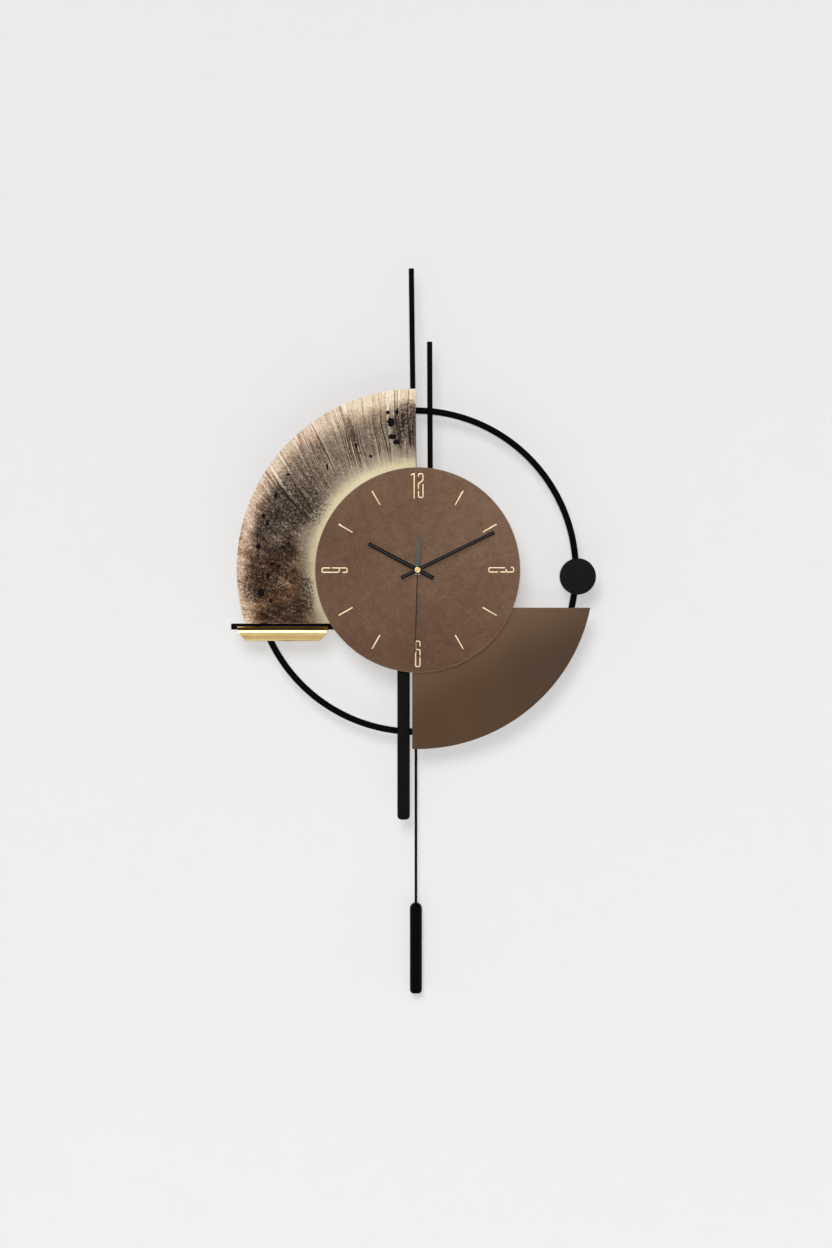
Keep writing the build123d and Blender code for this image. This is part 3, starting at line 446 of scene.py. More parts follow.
def arc(centre: Sequence[float], radius: float, start: float, end: float, steps: int) -> np.ndarray:
    """Points (x, z) on an arc.

    Args:
        centre: x and z of its centre.
        radius: its radius.
        start: first angle, in radians.
        end: last angle, in radians.
        steps: number of points.

    Returns:
        The points.
    """
    turn = np.linspace(start, end, steps)
    return np.stack([centre[0] + radius * np.cos(turn), centre[1] + radius * np.sin(turn)], axis=1)


def counter_clockwise(outline: np.ndarray) -> np.ndarray:
    """Turns an outline round if its signed area is negative."""
    after = np.roll(outline, -1, axis=0)
    area = np.sum(outline[:, 0] * after[:, 1] - after[:, 0] * outline[:, 1])
    return outline if area > 0 else outline[::-1]


def rounded_path(corners: np.ndarray, radius: float, steps: int = 6) -> np.ndarray:
    """Open polyline whose inner corners are replaced by quadratic curves.

    A corner P between A and B becomes (1-t)^2 A' + 2t(1-t) P + t^2 B', with A' and B' at the
    given distance from P on its two runs.

    Args:
        corners: points (x, z).
        radius: distance from a corner at which its curve starts.
        steps: points on each curve.

    Returns:
        Points of the smooth path.
    """
    before, corner, after = corners[:-2], corners[1:-1], corners[2:]
    into = (before - corner) / np.linalg.norm(before - corner, axis=1, keepdims=True)
    out = (after - corner) / np.linalg.norm(after - corner, axis=1, keepdims=True)
    t = np.linspace(0.0, 1.0, steps)[None, :, None]
    first = (corner + into * radius)[:, None, :]
    last = (corner + out * radius)[:, None, :]
    bends = (1 - t) ** 2 * first + 2 * t * (1 - t) * corner[:, None, :] + t**2 * last
    return np.concatenate([corners[:1], bends.reshape(-1, 2), corners[-1:]])


def stroke_outline(path: np.ndarray, width: float, cap_steps: int = 7) -> np.ndarray:
    """Outline of a round-ended stroke: the path moved half a width to each side, joined by half circles.

    A path point moves by half a width along the mitred normal of its two runs.

    Args:
        path: points (x, z) of the middle line.
        width: width of the stroke.
        cap_steps: points on each end.

    Returns:
        Closed outline, counter-clockwise.
    """
    run = np.diff(path, axis=0)
    run /= np.linalg.norm(run, axis=1, keepdims=True)
    before, after = np.concatenate([run[:1], run]), np.concatenate([run, run[-1:]])
    share = 1 + np.sum(before * after, axis=1, keepdims=True)
    middle = (before + after) / np.maximum(share, 0.35)
    side = np.stack([-middle[:, 1], middle[:, 0]], axis=1) * width / 2
    heading = np.arctan2(run[:, 1], run[:, 0])
    head = arc(path[-1], width / 2, heading[-1] + np.pi / 2, heading[-1] - np.pi / 2, cap_steps)[1:-1]
    tail = arc(path[0], width / 2, heading[0] - np.pi / 2, heading[0] - 3 * np.pi / 2, cap_steps)[1:-1]
    return counter_clockwise(np.concatenate([path + side, head, (path - side)[::-1], tail]))


def spun(outline: np.ndarray, clock_angle: float) -> np.ndarray:
    """Turns points about the hand axis by an angle that runs clockwise from twelve.

    Args:
        outline: points (x, z) relative to the hand axis, drawn for twelve o'clock.
        clock_angle: degrees.

    Returns:
        Points (x, z) in the frame.
    """
    turn = math.radians(-clock_angle)
    matrix = np.array([[math.cos(turn), -math.sin(turn)], [math.sin(turn), math.cos(turn)]])
    return outline @ matrix.T + AXIS


# ---------------------------------------------------------------- node trees


def rgb(red: int, green: int, blue: int) -> Colour:
    """Turns 8-bit screen values into scene-linear ones.

    Args:
        red: 0 to 255.
        green: 0 to 255.
        blue: 0 to 255.

    Returns:
        The linear colour.
    """
    share = np.array([red, green, blue]) / 255
    linear = np.where(share <= 0.04045, share / 12.92, ((share + 0.055) / 1.055) ** 2.4)
    return tuple(float(value) for value in linear)


class Graph:
    """Short calls to add and link nodes of one tree."""

    def __init__(self, tree: bpy.types.NodeTree) -> None:
        """Keeps the tree."""
        self.tree = tree

    def add(self, kind: str, inputs: dict[str | int, Any] | None = None, **settings: Any) -> bpy.types.Node:
        """Adds a node.

        Args:
            kind: Blender's node type, without "ShaderNode".
            inputs: socket name or index to a value or another node's output.
            settings: properties of the node.

        Returns:
            The node.
        """
        node = self.tree.nodes.new("ShaderNode" + kind)
        for name, value in settings.items():
            setattr(node, name, value)
        for name, value in (inputs or {}).items():
            self.feed(node.inputs[name], value)
        return node

    def feed(self, socket: Socket, value: Any) -> None:
        """Links a socket to an output, or sets its value."""
        if isinstance(value, bpy.types.NodeSocket):
            self.tree.links.new(value, socket)
        elif isinstance(value, tuple) and len(value) == 3 and socket.type == "RGBA":
            socket.default_value = (*value, 1.0)
        else:
            socket.default_value = value

    def math(self, operation: str, first: Any, second: Any = 0.0, clamp: bool = False) -> Socket:
        """Result of a Math node."""
        return self.add("Math", {0: first, 1: second}, operation=operation, use_clamp=clamp).outputs[0]

    def times(self, first: Any, second: Any, clamp: bool = False) -> Socket:
        """Product of two numbers."""
        return self.math("MULTIPLY", first, second, clamp)

    def plus(self, first: Any, second: Any) -> Socket:
        """Sum of two numbers."""
        return self.math("ADD", first, second)

    def minus(self, first: Any, second: Any) -> Socket:
        """First number less the second."""
        return self.math("SUBTRACT", first, second)

    def vector(self, operation: str, first: Any, second: Any = (0.0, 0.0, 0.0)) -> Socket:
        """Vector result of a Vector Math node."""
        return self.add("VectorMath", {0: first, 1: second}, operation=operation).outputs[0]

    def scaled(self, vector: Any, factor: Any) -> Socket:
        """A vector times a number."""
        return self.add("VectorMath", {0: vector, "Scale": factor}, operation="SCALE").outputs[0]

    def length(self, vector: Any) -> Socket:
        """Length of a vector."""
        return self.add("VectorMath", {0: vector}, operation="LENGTH").outputs["Value"]

    def step(
        self, value: Any, low: float, high: float, to_low: float = 0.0, to_high: float = 1.0
    ) -> Socket:
        """Smooth change of a value from to_low at low to to_high at high.

        Args:
            value: what is changed.
            low: value where the change starts.
            high: value where it ends.
            to_low: result at low.
            to_high: result at high.

        Returns:
            The result.
        """
        span = {"Value": value, "From Min": low, "From Max": high, "To Min": to_low, "To Max": to_high}
        return self.add("MapRange", span, interpolation_type="SMOOTHSTEP").outputs["Result"]

    def mix(self, factor: Any, first: Any, second: Any, blend: str = "MIX") -> Socket:
        """Mixes two colours."""
        node = self.add("Mix", {0: factor, 6: first, 7: second}, data_type="RGBA", blend_type=blend)
        return node.outputs[2]

    def curve(self, value: Any, stops: Iterable[tuple[float, float]]) -> Socket:
        """Number read off straight runs between (position, number) stops."""
        grey = self.ramp(value, [(position, (level,) * 3) for position, level in stops])
        return self.add("RGBToBW", {0: grey}).outputs[0]

    def ramp(self, value: Any, stops: Iterable[tuple[float, Colour]]) -> Socket:
        """Colour ramp through (position, colour) stops."""
        node = self.add("ValToRGB", {0: value})
        elements = node.color_ramp.elements
        wanted = list(stops)
        while len(elements) < len(wanted):
            elements.new(0.5)
        for element, (position, colour) in zip(elements, wanted):
            element.position = position
            element.color = (*colour, 1.0)
        return node.outputs[0]

    def noise(
        self, vector: Any, scale: float, detail: float = 3.0, rough: float = 0.55, bend: float = 0.0
    ) -> Socket:
        """Value of a noise texture, near 0.5 on average.

        Args:
            vector: coordinates.
            scale: cells in a unit.
            detail: octaves.
            rough: weight of the finer octaves.
            bend: distortion.

        Returns:
            The value.
        """
        values = {
            "Vector": vector, "Scale": scale, "Detail": detail, "Roughness": rough, "Distortion": bend
        }
        return self.add("TexNoise", values).outputs[0]

    def place(self) -> Socket:
        """Object coordinates, in metres."""
        return self.add("TexCoord").outputs["Object"]

    def group(self, tree: bpy.types.NodeTree, inputs: dict[str, Any]) -> bpy.types.Node:
        """Places a node group with its own values."""
        node = self.tree.nodes.new("ShaderNodeGroup")
        node.node_tree = tree
        for name, value in inputs.items():
            self.feed(node.inputs[name], value)
        return node


class Effect:
    """A node group with named sockets, built once and shared by many finishes."""

    built: dict[str, bpy.types.NodeTree] = {}

    @classmethod
    def start(
        cls, name: str, inputs: dict[str, str], outputs: dict[str, str]
    ) -> tuple[bpy.types.NodeTree, Graph, Any, Any]:
        """Makes an empty group.

        Args:
            name: name of the group.
            inputs: input name to socket type.
            outputs: output name to socket type.

        Returns:
            The group, a graph on it, its input node and its output node.
        """
        tree = bpy.data.node_groups.new(name, "ShaderNodeTree")
        for label, kind in inputs.items():
            tree.interface.new_socket(label, in_out="INPUT", socket_type="NodeSocket" + kind)
        for label, kind in outputs.items():
            tree.interface.new_socket(label, in_out="OUTPUT", socket_type="NodeSocket" + kind)
        cls.built[name] = tree
        return tree, Graph(tree), tree.nodes.new("NodeGroupInput"), tree.nodes.new("NodeGroupOutput")

    @classmethod
    def grain(cls) -> bpy.types.NodeTree:
        """Value that wanders between two levels, for roughness and shade."""
        if "grain" in cls.built:
            return cls.built["grain"]
        sockets = {"Vector": "Vector", "Scale": "Float", "Low": "Float", "High": "Float"}
        tree, graph, given, result = cls.start("grain", sockets, {"Value": "Float"})
        soft = graph.add(
            "TexNoise", {"Vector": given.outputs["Vector"], "Scale": given.outputs["Scale"], "Detail": 4.0}
        )
        span = graph.add("MapRange", {"Value": soft.outputs[0], "From Min": 0.3, "From Max": 0.7})
        graph.feed(span.inputs["To Min"], given.outputs["Low"])
        graph.feed(span.inputs["To Max"], given.outputs["High"])
        graph.feed(result.inputs["Value"], span.outputs["Result"])
        return tree

    @classmethod
    def edge_wear(cls) -> bpy.types.NodeTree:
        """Mask of crisp edges, broken up by noise: how far the rounded normal leaves the true one."""
        if "edge wear" in cls.built:
            return cls.built["edge wear"]
        sockets = {"Vector": "Vector", "Scale": "Float", "Amount": "Float"}
        tree, graph, given, result = cls.start("edge wear", sockets, {"Mask": "Float"})
        rounded = graph.add("Bevel", {"Radius": 0.0006}, samples=4).outputs[0]
        true = graph.add("NewGeometry").outputs["Normal"]
        facing = graph.add("VectorMath", {0: rounded, 1: true}, operation="DOT_PRODUCT").outputs["Value"]
        turned_away = graph.minus(1.0, facing)
        patchy = graph.noise(given.outputs["Vector"], 1.0, 3.0)
        graph.feed(patchy.node.inputs["Scale"], given.outputs["Scale"])
        broken = graph.times(graph.step(turned_away, 0.02, 0.25), graph.step(patchy, 0.42, 0.62))
        graph.feed(result.inputs["Mask"], graph.times(broken, given.outputs["Amount"], clamp=True))
        return tree

    @classmethod
    def stipple(cls) -> bpy.types.NodeTree:
        """Height of an orange-peel coating: broad swells with fine grit on top."""
        if "stipple" in cls.built:
            return cls.built["stipple"]
        sockets = {"Vector": "Vector", "Scale": "Float", "Grit": "Float"}
        tree, graph, given, result = cls.start("stipple", sockets, {"Height": "Float"})
        swell = graph.noise(given.outputs["Vector"], 1.0, 1.0)
        graph.feed(swell.node.inputs["Scale"], given.outputs["Scale"])
        fine = graph.noise(graph.scaled(given.outputs["Vector"], 3.7), 1.0, 2.0, 0.7)
        graph.feed(fine.node.inputs["Scale"], given.outputs["Scale"])
        grit = graph.times(fine, given.outputs["Grit"])
        graph.feed(result.inputs["Height"], graph.plus(swell, grit))
        return tree

    @classmethod
    def blotch(cls) -> bpy.types.NodeTree:
        """Soft elliptical mark: 1 inside its radii and 0 outside, with a ragged rim."""
        if "blotch" in cls.built:
            return cls.built["blotch"]
        sockets = {
            "Vector": "Vector", "Centre": "Vector", "Spread": "Vector", "Ragged": "Float", "Soft": "Float"
        }
        tree, graph, given, result = cls.start("blotch", sockets, {"Mask": "Float"})
        away = graph.vector("SUBTRACT", given.outputs["Vector"], given.outputs["Centre"])
        reach = graph.length(graph.vector("DIVIDE", away, given.outputs["Spread"]))
        torn = graph.noise(given.outputs["Vector"], 0.45, 3.0, 0.6)
        shift = graph.times(graph.minus(torn, 0.5), given.outputs["Ragged"])
        graph.feed(result.inputs["Mask"], graph.step(graph.plus(reach, shift), given.outputs["Soft"], 0.85))
        return tree


# ---------------------------------------------------------------- finishes


@dataclass(frozen=True)
class Finish:
    """A finish that is made into a material once; each kind dresses the material in its own way."""

    name: str

    def material(self) -> bpy.types.Material:
        """Returns the material, made on the first call."""
        known = bpy.data.materials.get("finish_" + self.name)
        if known:
            return known
        made = bpy.data.materials.new("finish_" + self.name)
        made.use_nodes = True
        made.node_tree.nodes.clear()
        graph = Graph(made.node_tree)
        shader = graph.add("BsdfPrincipled")
        self.dress(graph, shader)
        output = graph.add("OutputMaterial")
        made.node_tree.links.new(shader.outputs[0], output.inputs["Surface"])
        return made

    def dress(self, graph: Graph, shader: bpy.types.Node) -> None:
        """Sets the shader's inputs; each finish has its own.

        Args:
            graph: the material's graph.
            shader: the material's Principled node.
        """
        raise NotImplementedError

    def grain(self, graph: Graph, place: Socket, scale: float, low: float, high: float) -> Socket:
        """Value of the shared grain effect, between low and high.

        Args:
            graph: the material's graph.
            place: coordinates.
            scale: noise scale.
            low: lowest value.
            high: highest value.

        Returns:
            The value.
        """
        given = {"Vector": place, "Scale": scale, "Low": low, "High": high}
        return graph.group(Effect.grain(), given).outputs[0]

    def worn_edges(self, graph: Graph, place: Socket, scale: float, amount: float) -> Socket:
        """Mask of the shared edge wear effect.

        Args:
            graph: the material's graph.
            place: coordinates.
            scale: scale of the patches.
            amount: share of wear at the crispest edge.

        Returns:
            Mask, 1 where worn.
        """
        given = {"Vector": place, "Scale": scale, "Amount": amount}
        return graph.group(Effect.edge_wear(), given).outputs[0]

    def bump(self, graph: Graph, shader: bpy.types.Node, height: Socket, distance: float) -> None:
        """Feeds a height in metres times distance to the shader's normal.

        Args:
            graph: the material's graph.
            shader: the material's Principled node.
            height: height, about 0 to 1.
            distance: metres for a height of 1.
        """
        bump = graph.add("Bump", {"Height": height, "Distance": distance})
        graph.feed(shader.inputs["Normal"], bump.outputs["Normal"])


@dataclass(frozen=True)
class Coated(Finish):
    """Powder coat or moulded plastic: one colour with shade drift, orange peel and worn edges."""

    colour: Colour
    worn: Colour
    rough: tuple[float, float] = (0.38, 0.5)
    peel: float = 900.0
    grit: float = 0.4
    depth: float = 0.00003
    wear: float = 0.35
    specular: float = 0.2
    metallic: float = 0.0

    def dress(self, graph: Graph, shader: bpy.types.Node) -> None:
        """Shade drift on the colour, grain on the roughness and stipple on the normal.

        Args:
            graph: the material's graph.
            shader: the material's Principled node.
        """
        place = graph.place()
        drift = self.grain(graph, place, 40.0, 0.86, 1.12)
        shade = graph.mix(1.0, self.colour, drift, "MULTIPLY")
        edges = self.worn_edges(graph, place, 260.0, self.wear)
        graph.feed(shader.inputs["Base Color"], graph.mix(edges, shade, self.worn))
        graph.feed(shader.inputs["Roughness"], self.grain(graph, place, 120.0, *self.rough))
        shader.inputs["Specular IOR Level"].default_value = self.specular
        shader.inputs["Metallic"].default_value = self.metallic
        peel = graph.group(
            Effect.stipple(), {"Vector": place, "Scale": self.peel, "Grit": self.grit}
        ).outputs[0]
        self.bump(graph, shader, peel, self.depth)


class Brush(Enum):
    """Direction in which a metal was brushed or turned."""

    ALONG_X = (18.0, 900.0, 900.0)
    ALONG_Z = (900.0, 900.0, 18.0)
    NONE = (350.0, 350.0, 350.0)


@dataclass(frozen=True)
class Metal(Finish):
    """Bare or plated metal with brush lines, tarnish and bright edges."""

    colour: Colour
    tarnish: Colour
    rough: tuple[float, float] = (0.22, 0.34)
    brush: Brush = Brush.NONE
    depth: float = 0.000012
    wear: float = 0.5

    def dress(self, graph: Graph, shader: bpy.types.Node) -> None:
        """Brush lines on roughness and normal, and thin tarnish on the colour.

        Args:
            graph: the material's graph.
            shader: the material's Principled node.
        """
        place = graph.place()
        lines = graph.noise(graph.vector("MULTIPLY", place, self.brush.value), 1.0, 3.0, 0.6)
        film = self.grain(graph, place, 70.0, 0.0, 0.55)
        base = graph.mix(film, self.colour, self.tarnish)
        edges = self.worn_edges(graph, place, 300.0, self.wear)
        graph.feed(shader.inputs["Base Color"], graph.mix(edges, base, self.colour))
        graph.feed(shader.inputs["Roughness"], graph.step(lines, 0.3, 0.7, self.rough[0], self.rough[1]))
        shader.inputs["Metallic"].default_value = 1.0
        self.bump(graph, shader, lines, self.depth)


@dataclass(frozen=True)
class Leatherette(Finish):
    """Brushed suede-like dial sheet: mottled brown with fine hair-fine grain and a lighter band along the
    rim.
    """

    deep: Colour
    middle: Colour
    pale: Colour
    rim: Colour
    radius: float = 0.127

    def dress(self, graph: Graph, shader: bpy.types.Node) -> None:
        """Broad clouds, small mottling and crossed hairlines, darker towards the lower left.

        Args:
            graph: the material's graph.
            shader: the material's Principled node.
        """
        place = graph.vector("SUBTRACT", graph.place(), AXIS_POINT)
        clouds = graph.noise(place, 9.0, 3.0, 0.5)
        mottle = graph.noise(place, 130.0, 4.0, 0.62, 0.4)
        hairs = graph.noise(graph.vector("MULTIPLY", place, (1400.0, 1.0, 260.0)), 1.0, 3.0, 0.6)
        wipes = graph.noise(graph.vector("MULTIPLY", place, (260.0, 1.0, 1400.0)), 1.0, 3.0, 0.6)
        split = graph.add("SeparateXYZ", {0: place})
        lift = graph.plus(graph.times(split.outputs["X"], 0.1), graph.times(split.outputs["Z"], 0.7))
        specks = graph.times(graph.noise(place, 480.0, 3.0, 0.7), 0.3)
        tone = graph.plus(graph.times(clouds, 0.42), graph.times(mottle, 0.4))
        tone = graph.plus(tone, specks)
        tone = graph.plus(tone, graph.times(graph.plus(hairs, wipes), 0.16))
        tone = graph.plus(tone, lift)
        shade = graph.ramp(
            graph.step(tone, 0.4, 1.08), [(0.0, self.deep), (0.5, self.middle), (1.0, self.pale)]
        )
        reach = graph.length(graph.vector("MULTIPLY", place, (1.0, 0.0, 1.0)))
        rim = graph.step(reach, self.radius - 0.0008, self.radius - 0.0001)
        graph.feed(shader.inputs["Base Color"], graph.mix(rim, shade, self.rim))
        graph.feed(shader.inputs["Roughness"], graph.step(mottle, 0.3, 0.7, 0.62, 0.8))
        shader.inputs["Specular IOR Level"].default_value = 0.15
        relief = graph.plus(graph.plus(hairs, wipes), mottle)
        self.bump(graph, shader, relief, 0.00005)


@dataclass(frozen=True)
class Lacquer(Finish):
    """Satin lacquer with a painted sheen: lighter in the upper part of the panel and darker lower down,
    with a faint drift, orange peel and rubbed rims.
    """

    # Painted sheen: upper is the lighter colour of the panel's upper part; left and right are the darker
    # colours of its lower left and lower right.
    upper: Colour
    left: Colour
    right: Colour
    rubbed: Colour
    rough: tuple[float, float] = (0.36, 0.46)
    wear: float = 0.4

    def dress(self, graph: Graph, shader: bpy.types.Node) -> None:
        """Painted sheen: upper, lower-left and lower-right colours blended by place, lighter at the top.

        Args:
            graph: the material's graph.
            shader: the material's Principled node.
        """
        place = graph.vector("SUBTRACT", graph.place(), AXIS_POINT)
        split = graph.add("SeparateXYZ", {0: place})
        # Painted sheen: the lighter upper colour gives way to the darker lower-left and lower-right ones by
        # place, standing in for the satin sheen of the panel.
        fall = graph.minus(split.outputs["Z"], graph.times(split.outputs["X"], 0.45))
        down = graph.step(fall, -0.09, -0.19)
        across = graph.step(split.outputs["X"], 0.04, 0.17)
        lower = graph.mix(across, self.left, self.right)
        base = graph.mix(down, self.upper, lower)
        drift = self.grain(graph, place, 14.0, 0.95, 1.05)
        base = graph.mix(1.0, base, drift, "MULTIPLY")
        edges = self.worn_edges(graph, place, 200.0, self.wear)
        graph.feed(shader.inputs["Base Color"], graph.mix(edges, base, self.rubbed))
        graph.feed(shader.inputs["Roughness"], self.grain(graph, place, 60.0, *self.rough))
        shader.inputs["Specular IOR Level"].default_value = 0.15
        peel = graph.group(Effect.stipple(), {"Vector": place, "Scale": 420.0, "Grit": 0.3}).outputs[0]
        self.bump(graph, shader, peel, 0.00002)


@dataclass(frozen=True)
class WoodSlice(Finish):
    """Printed slice of old wood: rays, cracks and worm holes between a pale rim and a pale glow.

    Places are in millimetres from the hand axis.
    """

    holes: tuple[tuple[float, float, float, float], ...]
    stains: tuple[tuple[float, float, float, float], ...]
    grooves: tuple[tuple[float, float, float, float], ...] = (
        (13.0, 0.0022, 0.04, 0.34), (23.0, 0.003, 0.06, 0.34), (43.0, 0.005, 0.09, 0.28),
        (80.0, 0.008, 0.14, 0.2),
    )
    heart_tone: tuple[tuple[float, float], ...] = (
        (0.0, 0.42), (0.13, 0.47), (0.28, 0.5), (0.52, 0.43), (0.66, 0.37), (0.78, 0.28), (0.9, 0.3),
        (1.0, 0.26),
    )
    rim_fall: tuple[tuple[float, float], ...] = (
        (0.0, 1.0), (0.25, 0.92), (0.5, 0.55), (0.75, 0.22), (1.0, 0.0)
    )
    glow_fall: tuple[tuple[float, float], ...] = (
        (0.0, 1.0), (0.16, 0.9), (0.33, 0.62), (0.46, 0.42), (0.62, 0.28), (0.8, 0.13), (1.0, 0.0),
    )
    glow_reach: float = 30.0
    heart: float = -95.0
    pit_depth: float = 0.2
    rim_centre: tuple[float, float] = (-1.0, 1.4)
    rim_radius: float = 223.2
    dial_radius: float = 127.0

    def dress(self, graph: Graph, shader: bpy.types.Node) -> None:
        """One tone from dark to pale, built up from place, rays and mottle, then three colour scales.

        Args:
            graph: the material's graph.
            shader: the material's Principled node.
        """
        place = graph.scaled(graph.vector("SUBTRACT", graph.place(), AXIS_POINT), 1000.0)
        flat = graph.vector("MULTIPLY", place, (1.0, 0.0, 1.0))
        split = graph.add("SeparateXYZ", {0: flat})
        turn = graph.math("ARCTAN2", split.outputs["Z"], graph.times(split.outputs["X"], -1.0))
        rim, rim_colour = self.rim(graph, flat, turn)
        glow = self.glow(graph, flat)
        rays = self.rays(graph, flat)
        mottle, fine = self.mottle(graph, flat, turn)
        quiet = graph.minus(1.0, graph.times(glow, 0.9))
        inner = graph.step(graph.length(flat), self.dial_radius + 8.0, self.dial_radius + 42.0, 0.35, 1.0)
        rays = graph.times(graph.times(rays, inner), graph.step(turn, 0.1, 0.8, 0.4, 0.85))
        tone = graph.plus(self.ground(graph, turn), graph.times(rim, 0.38))
        tone = graph.plus(tone, graph.times(glow, 0.46))
        calm = graph.step(graph.length(flat), self.dial_radius + 10.0, self.dial_radius + 34.0, 0.5, 1.0)
        mottle = graph.times(mottle, calm)
        tone = graph.plus(tone, graph.times(graph.plus(rays, mottle), quiet))
        grey = graph.ramp(tone, [
            (0.0, rgb(15, 10, 7)), (0.2, rgb(49, 38, 29)), (0.35, rgb(88, 74, 62)),
            (0.5, rgb(127, 112, 97)), (0.65, rgb(165, 149, 131)), (0.8, rgb(200, 185, 165)),
            (1.0, rgb(238, 228, 210)),
        ])
        russet = graph.ramp(tone, [
            (0.0, rgb(18, 9, 5)), (0.2, rgb(58, 37, 24)), (0.35, rgb(100, 73, 52)),
            (0.5, rgb(139, 110, 83)), (0.65, rgb(172, 145, 116)), (1.0, rgb(238, 224, 200)),
        ])
        patchy = graph.step(graph.noise(flat, 0.05, 2.0), 0.35, 0.6, 0.55)
        low = graph.times(graph.step(turn, 0.3, -0.05), patchy)
        wood = graph.mix(low, grey, russet)
        gold = graph.ramp(tone, [
            (0.0, rgb(20, 15, 10)), (0.35, rgb(98, 88, 71)), (0.5, rgb(134, 123, 104)),
            (0.65, rgb(172, 160, 134)), (0.8, rgb(206, 192, 156)), (1.0, rgb(238, 228, 190)),
        ])
        colour = graph.mix(graph.times(glow, 1.3, clamp=True), wood, gold)
        colour = graph.mix(graph.times(rim, 1.2, clamp=True), colour, self.bark(graph, tone, rim_colour))
        colour = self.marks(graph, colour, flat)
        graph.feed(shader.inputs["Base Color"], colour)
        graph.feed(shader.inputs["Roughness"], graph.step(fine, 0.3, 0.7, 0.36, 0.5))
        shader.inputs["Specular IOR Level"].default_value = 0.08
        self.bump(graph, shader, tone, 0.00006)

    def ground(self, graph: Graph, turn: Socket) -> Socket:
        """Tone of the heartwood by angle: lighter from the top to the upper left, darkest on the left.

        Args:
            graph: the material's graph.
            turn: angle above the left horizon, in radians.

        Returns:
            Tone, 0 dark to 1 pale.
        """
        share = graph.add(
            "MapRange", {"Value": turn, "From Min": 0.5 * math.pi, "From Max": -0.12 * math.pi}
        ).outputs[0]
        return graph.curve(share, self.heart_tone)

    def rays(self, graph: Graph, flat: Socket) -> Socket:
        """Grooves along lines that leave the heart of the slice, and hair-fine fibre between them.

        A groove runs where a stretched noise crosses its middle value: dark on one side of the
        crossing and pale on the other.

        Args:
            graph: the material's graph.
            flat: place in millimetres.

        Returns:
            Tone to add, near 0 on average.
        """
        wander = graph.add("TexNoise", {"Vector": flat, "Scale": 0.012, "Detail": 1.0}).outputs["Color"]
        bend = graph.scaled(graph.vector("SUBTRACT", wander, (0.5, 0.5, 0.5)), 16.0)
        away = graph.vector("SUBTRACT", graph.vector("ADD", flat, bend), (0.0, 0.0, self.heart))
        split = graph.add("SeparateXYZ", {0: away})
        angle = graph.math("ARCTAN2", split.outputs["Z"], split.outputs["X"])
        reach = graph.length(away)
        total: Socket = 0.0
        for count, run, thin, deep in self.grooves:
            spot = graph.add("CombineXYZ", {
                0: graph.times(angle, count), 1: graph.times(reach, run), 2: count})
            crossing = graph.minus(graph.noise(spot.outputs[0], 1.0, 1.0, 0.4), 0.5)
            dark = graph.times(graph.step(crossing, thin, 0.0), graph.step(crossing, -0.012, 0.0))
            pale = graph.times(graph.step(crossing, -thin, 0.0), graph.step(crossing, 0.012, 0.0))
            aside = graph.vector("ADD", spot.outputs[0], (7.3, 2.9, 0.0))
            here = graph.step(graph.noise(aside, 0.9, 1.0), 0.4, 0.58, 0.1)
            line = graph.times(graph.minus(graph.times(pale, 0.85), dark), deep)
            total = graph.plus(total, graph.times(line, here))
        hair = graph.add("CombineXYZ", {0: graph.times(angle, 210.0), 1: graph.times(reach, 0.03)})
        fibre = graph.minus(graph.noise(hair.outputs[0], 1.0, 3.0, 0.6), 0.5)
        return graph.plus(total, graph.times(fibre, 0.22))

    def mottle(self, graph: Graph, flat: Socket, turn: Socket) -> tuple[Socket, Socket]:
        """Rot and worm speckle, strongest on the left.

        Args:
            graph: the material's graph.
            flat: place in millimetres.
            turn: angle above the left horizon, in radians.

        Returns:
            Tone to add and the fine noise behind it.
        """
        fine = graph.noise(flat, 0.42, 5.0, 0.72, 0.7)
        broad = graph.noise(flat, 0.06, 3.0, 0.6)
        strong = graph.step(turn, 1.3, 0.3, 0.8, 1.5)
        speckle = graph.times(graph.minus(fine, 0.5), strong)
        clouds = graph.times(graph.minus(broad, 0.5), graph.step(turn, 1.0, 0.2, 0.3, 0.8))
        pits = graph.times(graph.step(graph.noise(flat, 0.3, 4.0, 0.75, 0.4), 0.43, 0.36), self.pit_depth)
        return graph.minus(graph.plus(speckle, clouds), pits), fine

    def spot(
        self, graph: Graph, flat: Socket, mark: tuple[float, float, float, float], ragged: float,
        soft: float
    ) -> Socket:
        """Mask of one mark.

        Args:
            graph: the material's graph.
            flat: place in millimetres.
            mark: x, z, half width and half height.
            ragged: how far its rim is torn.
            soft: where its rim ends, in half widths.

        Returns:
            Mask, 1 inside.
        """
        x, z, wide, high = mark
        given = {"Vector": flat, "Centre": (x, 0.0, z), "Spread": (wide, 1.0, high)}
        given |= {"Ragged": ragged, "Soft": soft}
        return graph.group(Effect.blotch(), given).outputs[0]

    def marks(self, graph: Graph, ground: Socket, flat: Socket) -> Socket:
        """Stains and holes; each is (x, z, half width, half height).

        Args:
            graph: the material's graph.
            ground: colour that they are laid on.
            flat: place in millimetres.

        Returns:
            The marked colour.
        """
        for stain in self.stains:
            mask = self.spot(graph, flat, stain, 1.8, 1.5)
            soft = graph.times(mask, graph.step(graph.noise(flat, 0.3, 5.0, 0.75), 0.42, 0.54))
            ground = graph.mix(graph.times(soft, 0.85), ground, rgb(34, 22, 15))
        for hole in self.holes:
            ground = graph.mix(self.spot(graph, flat, hole, 1.3, 1.0), ground, rgb(9, 5, 4))
        return ground

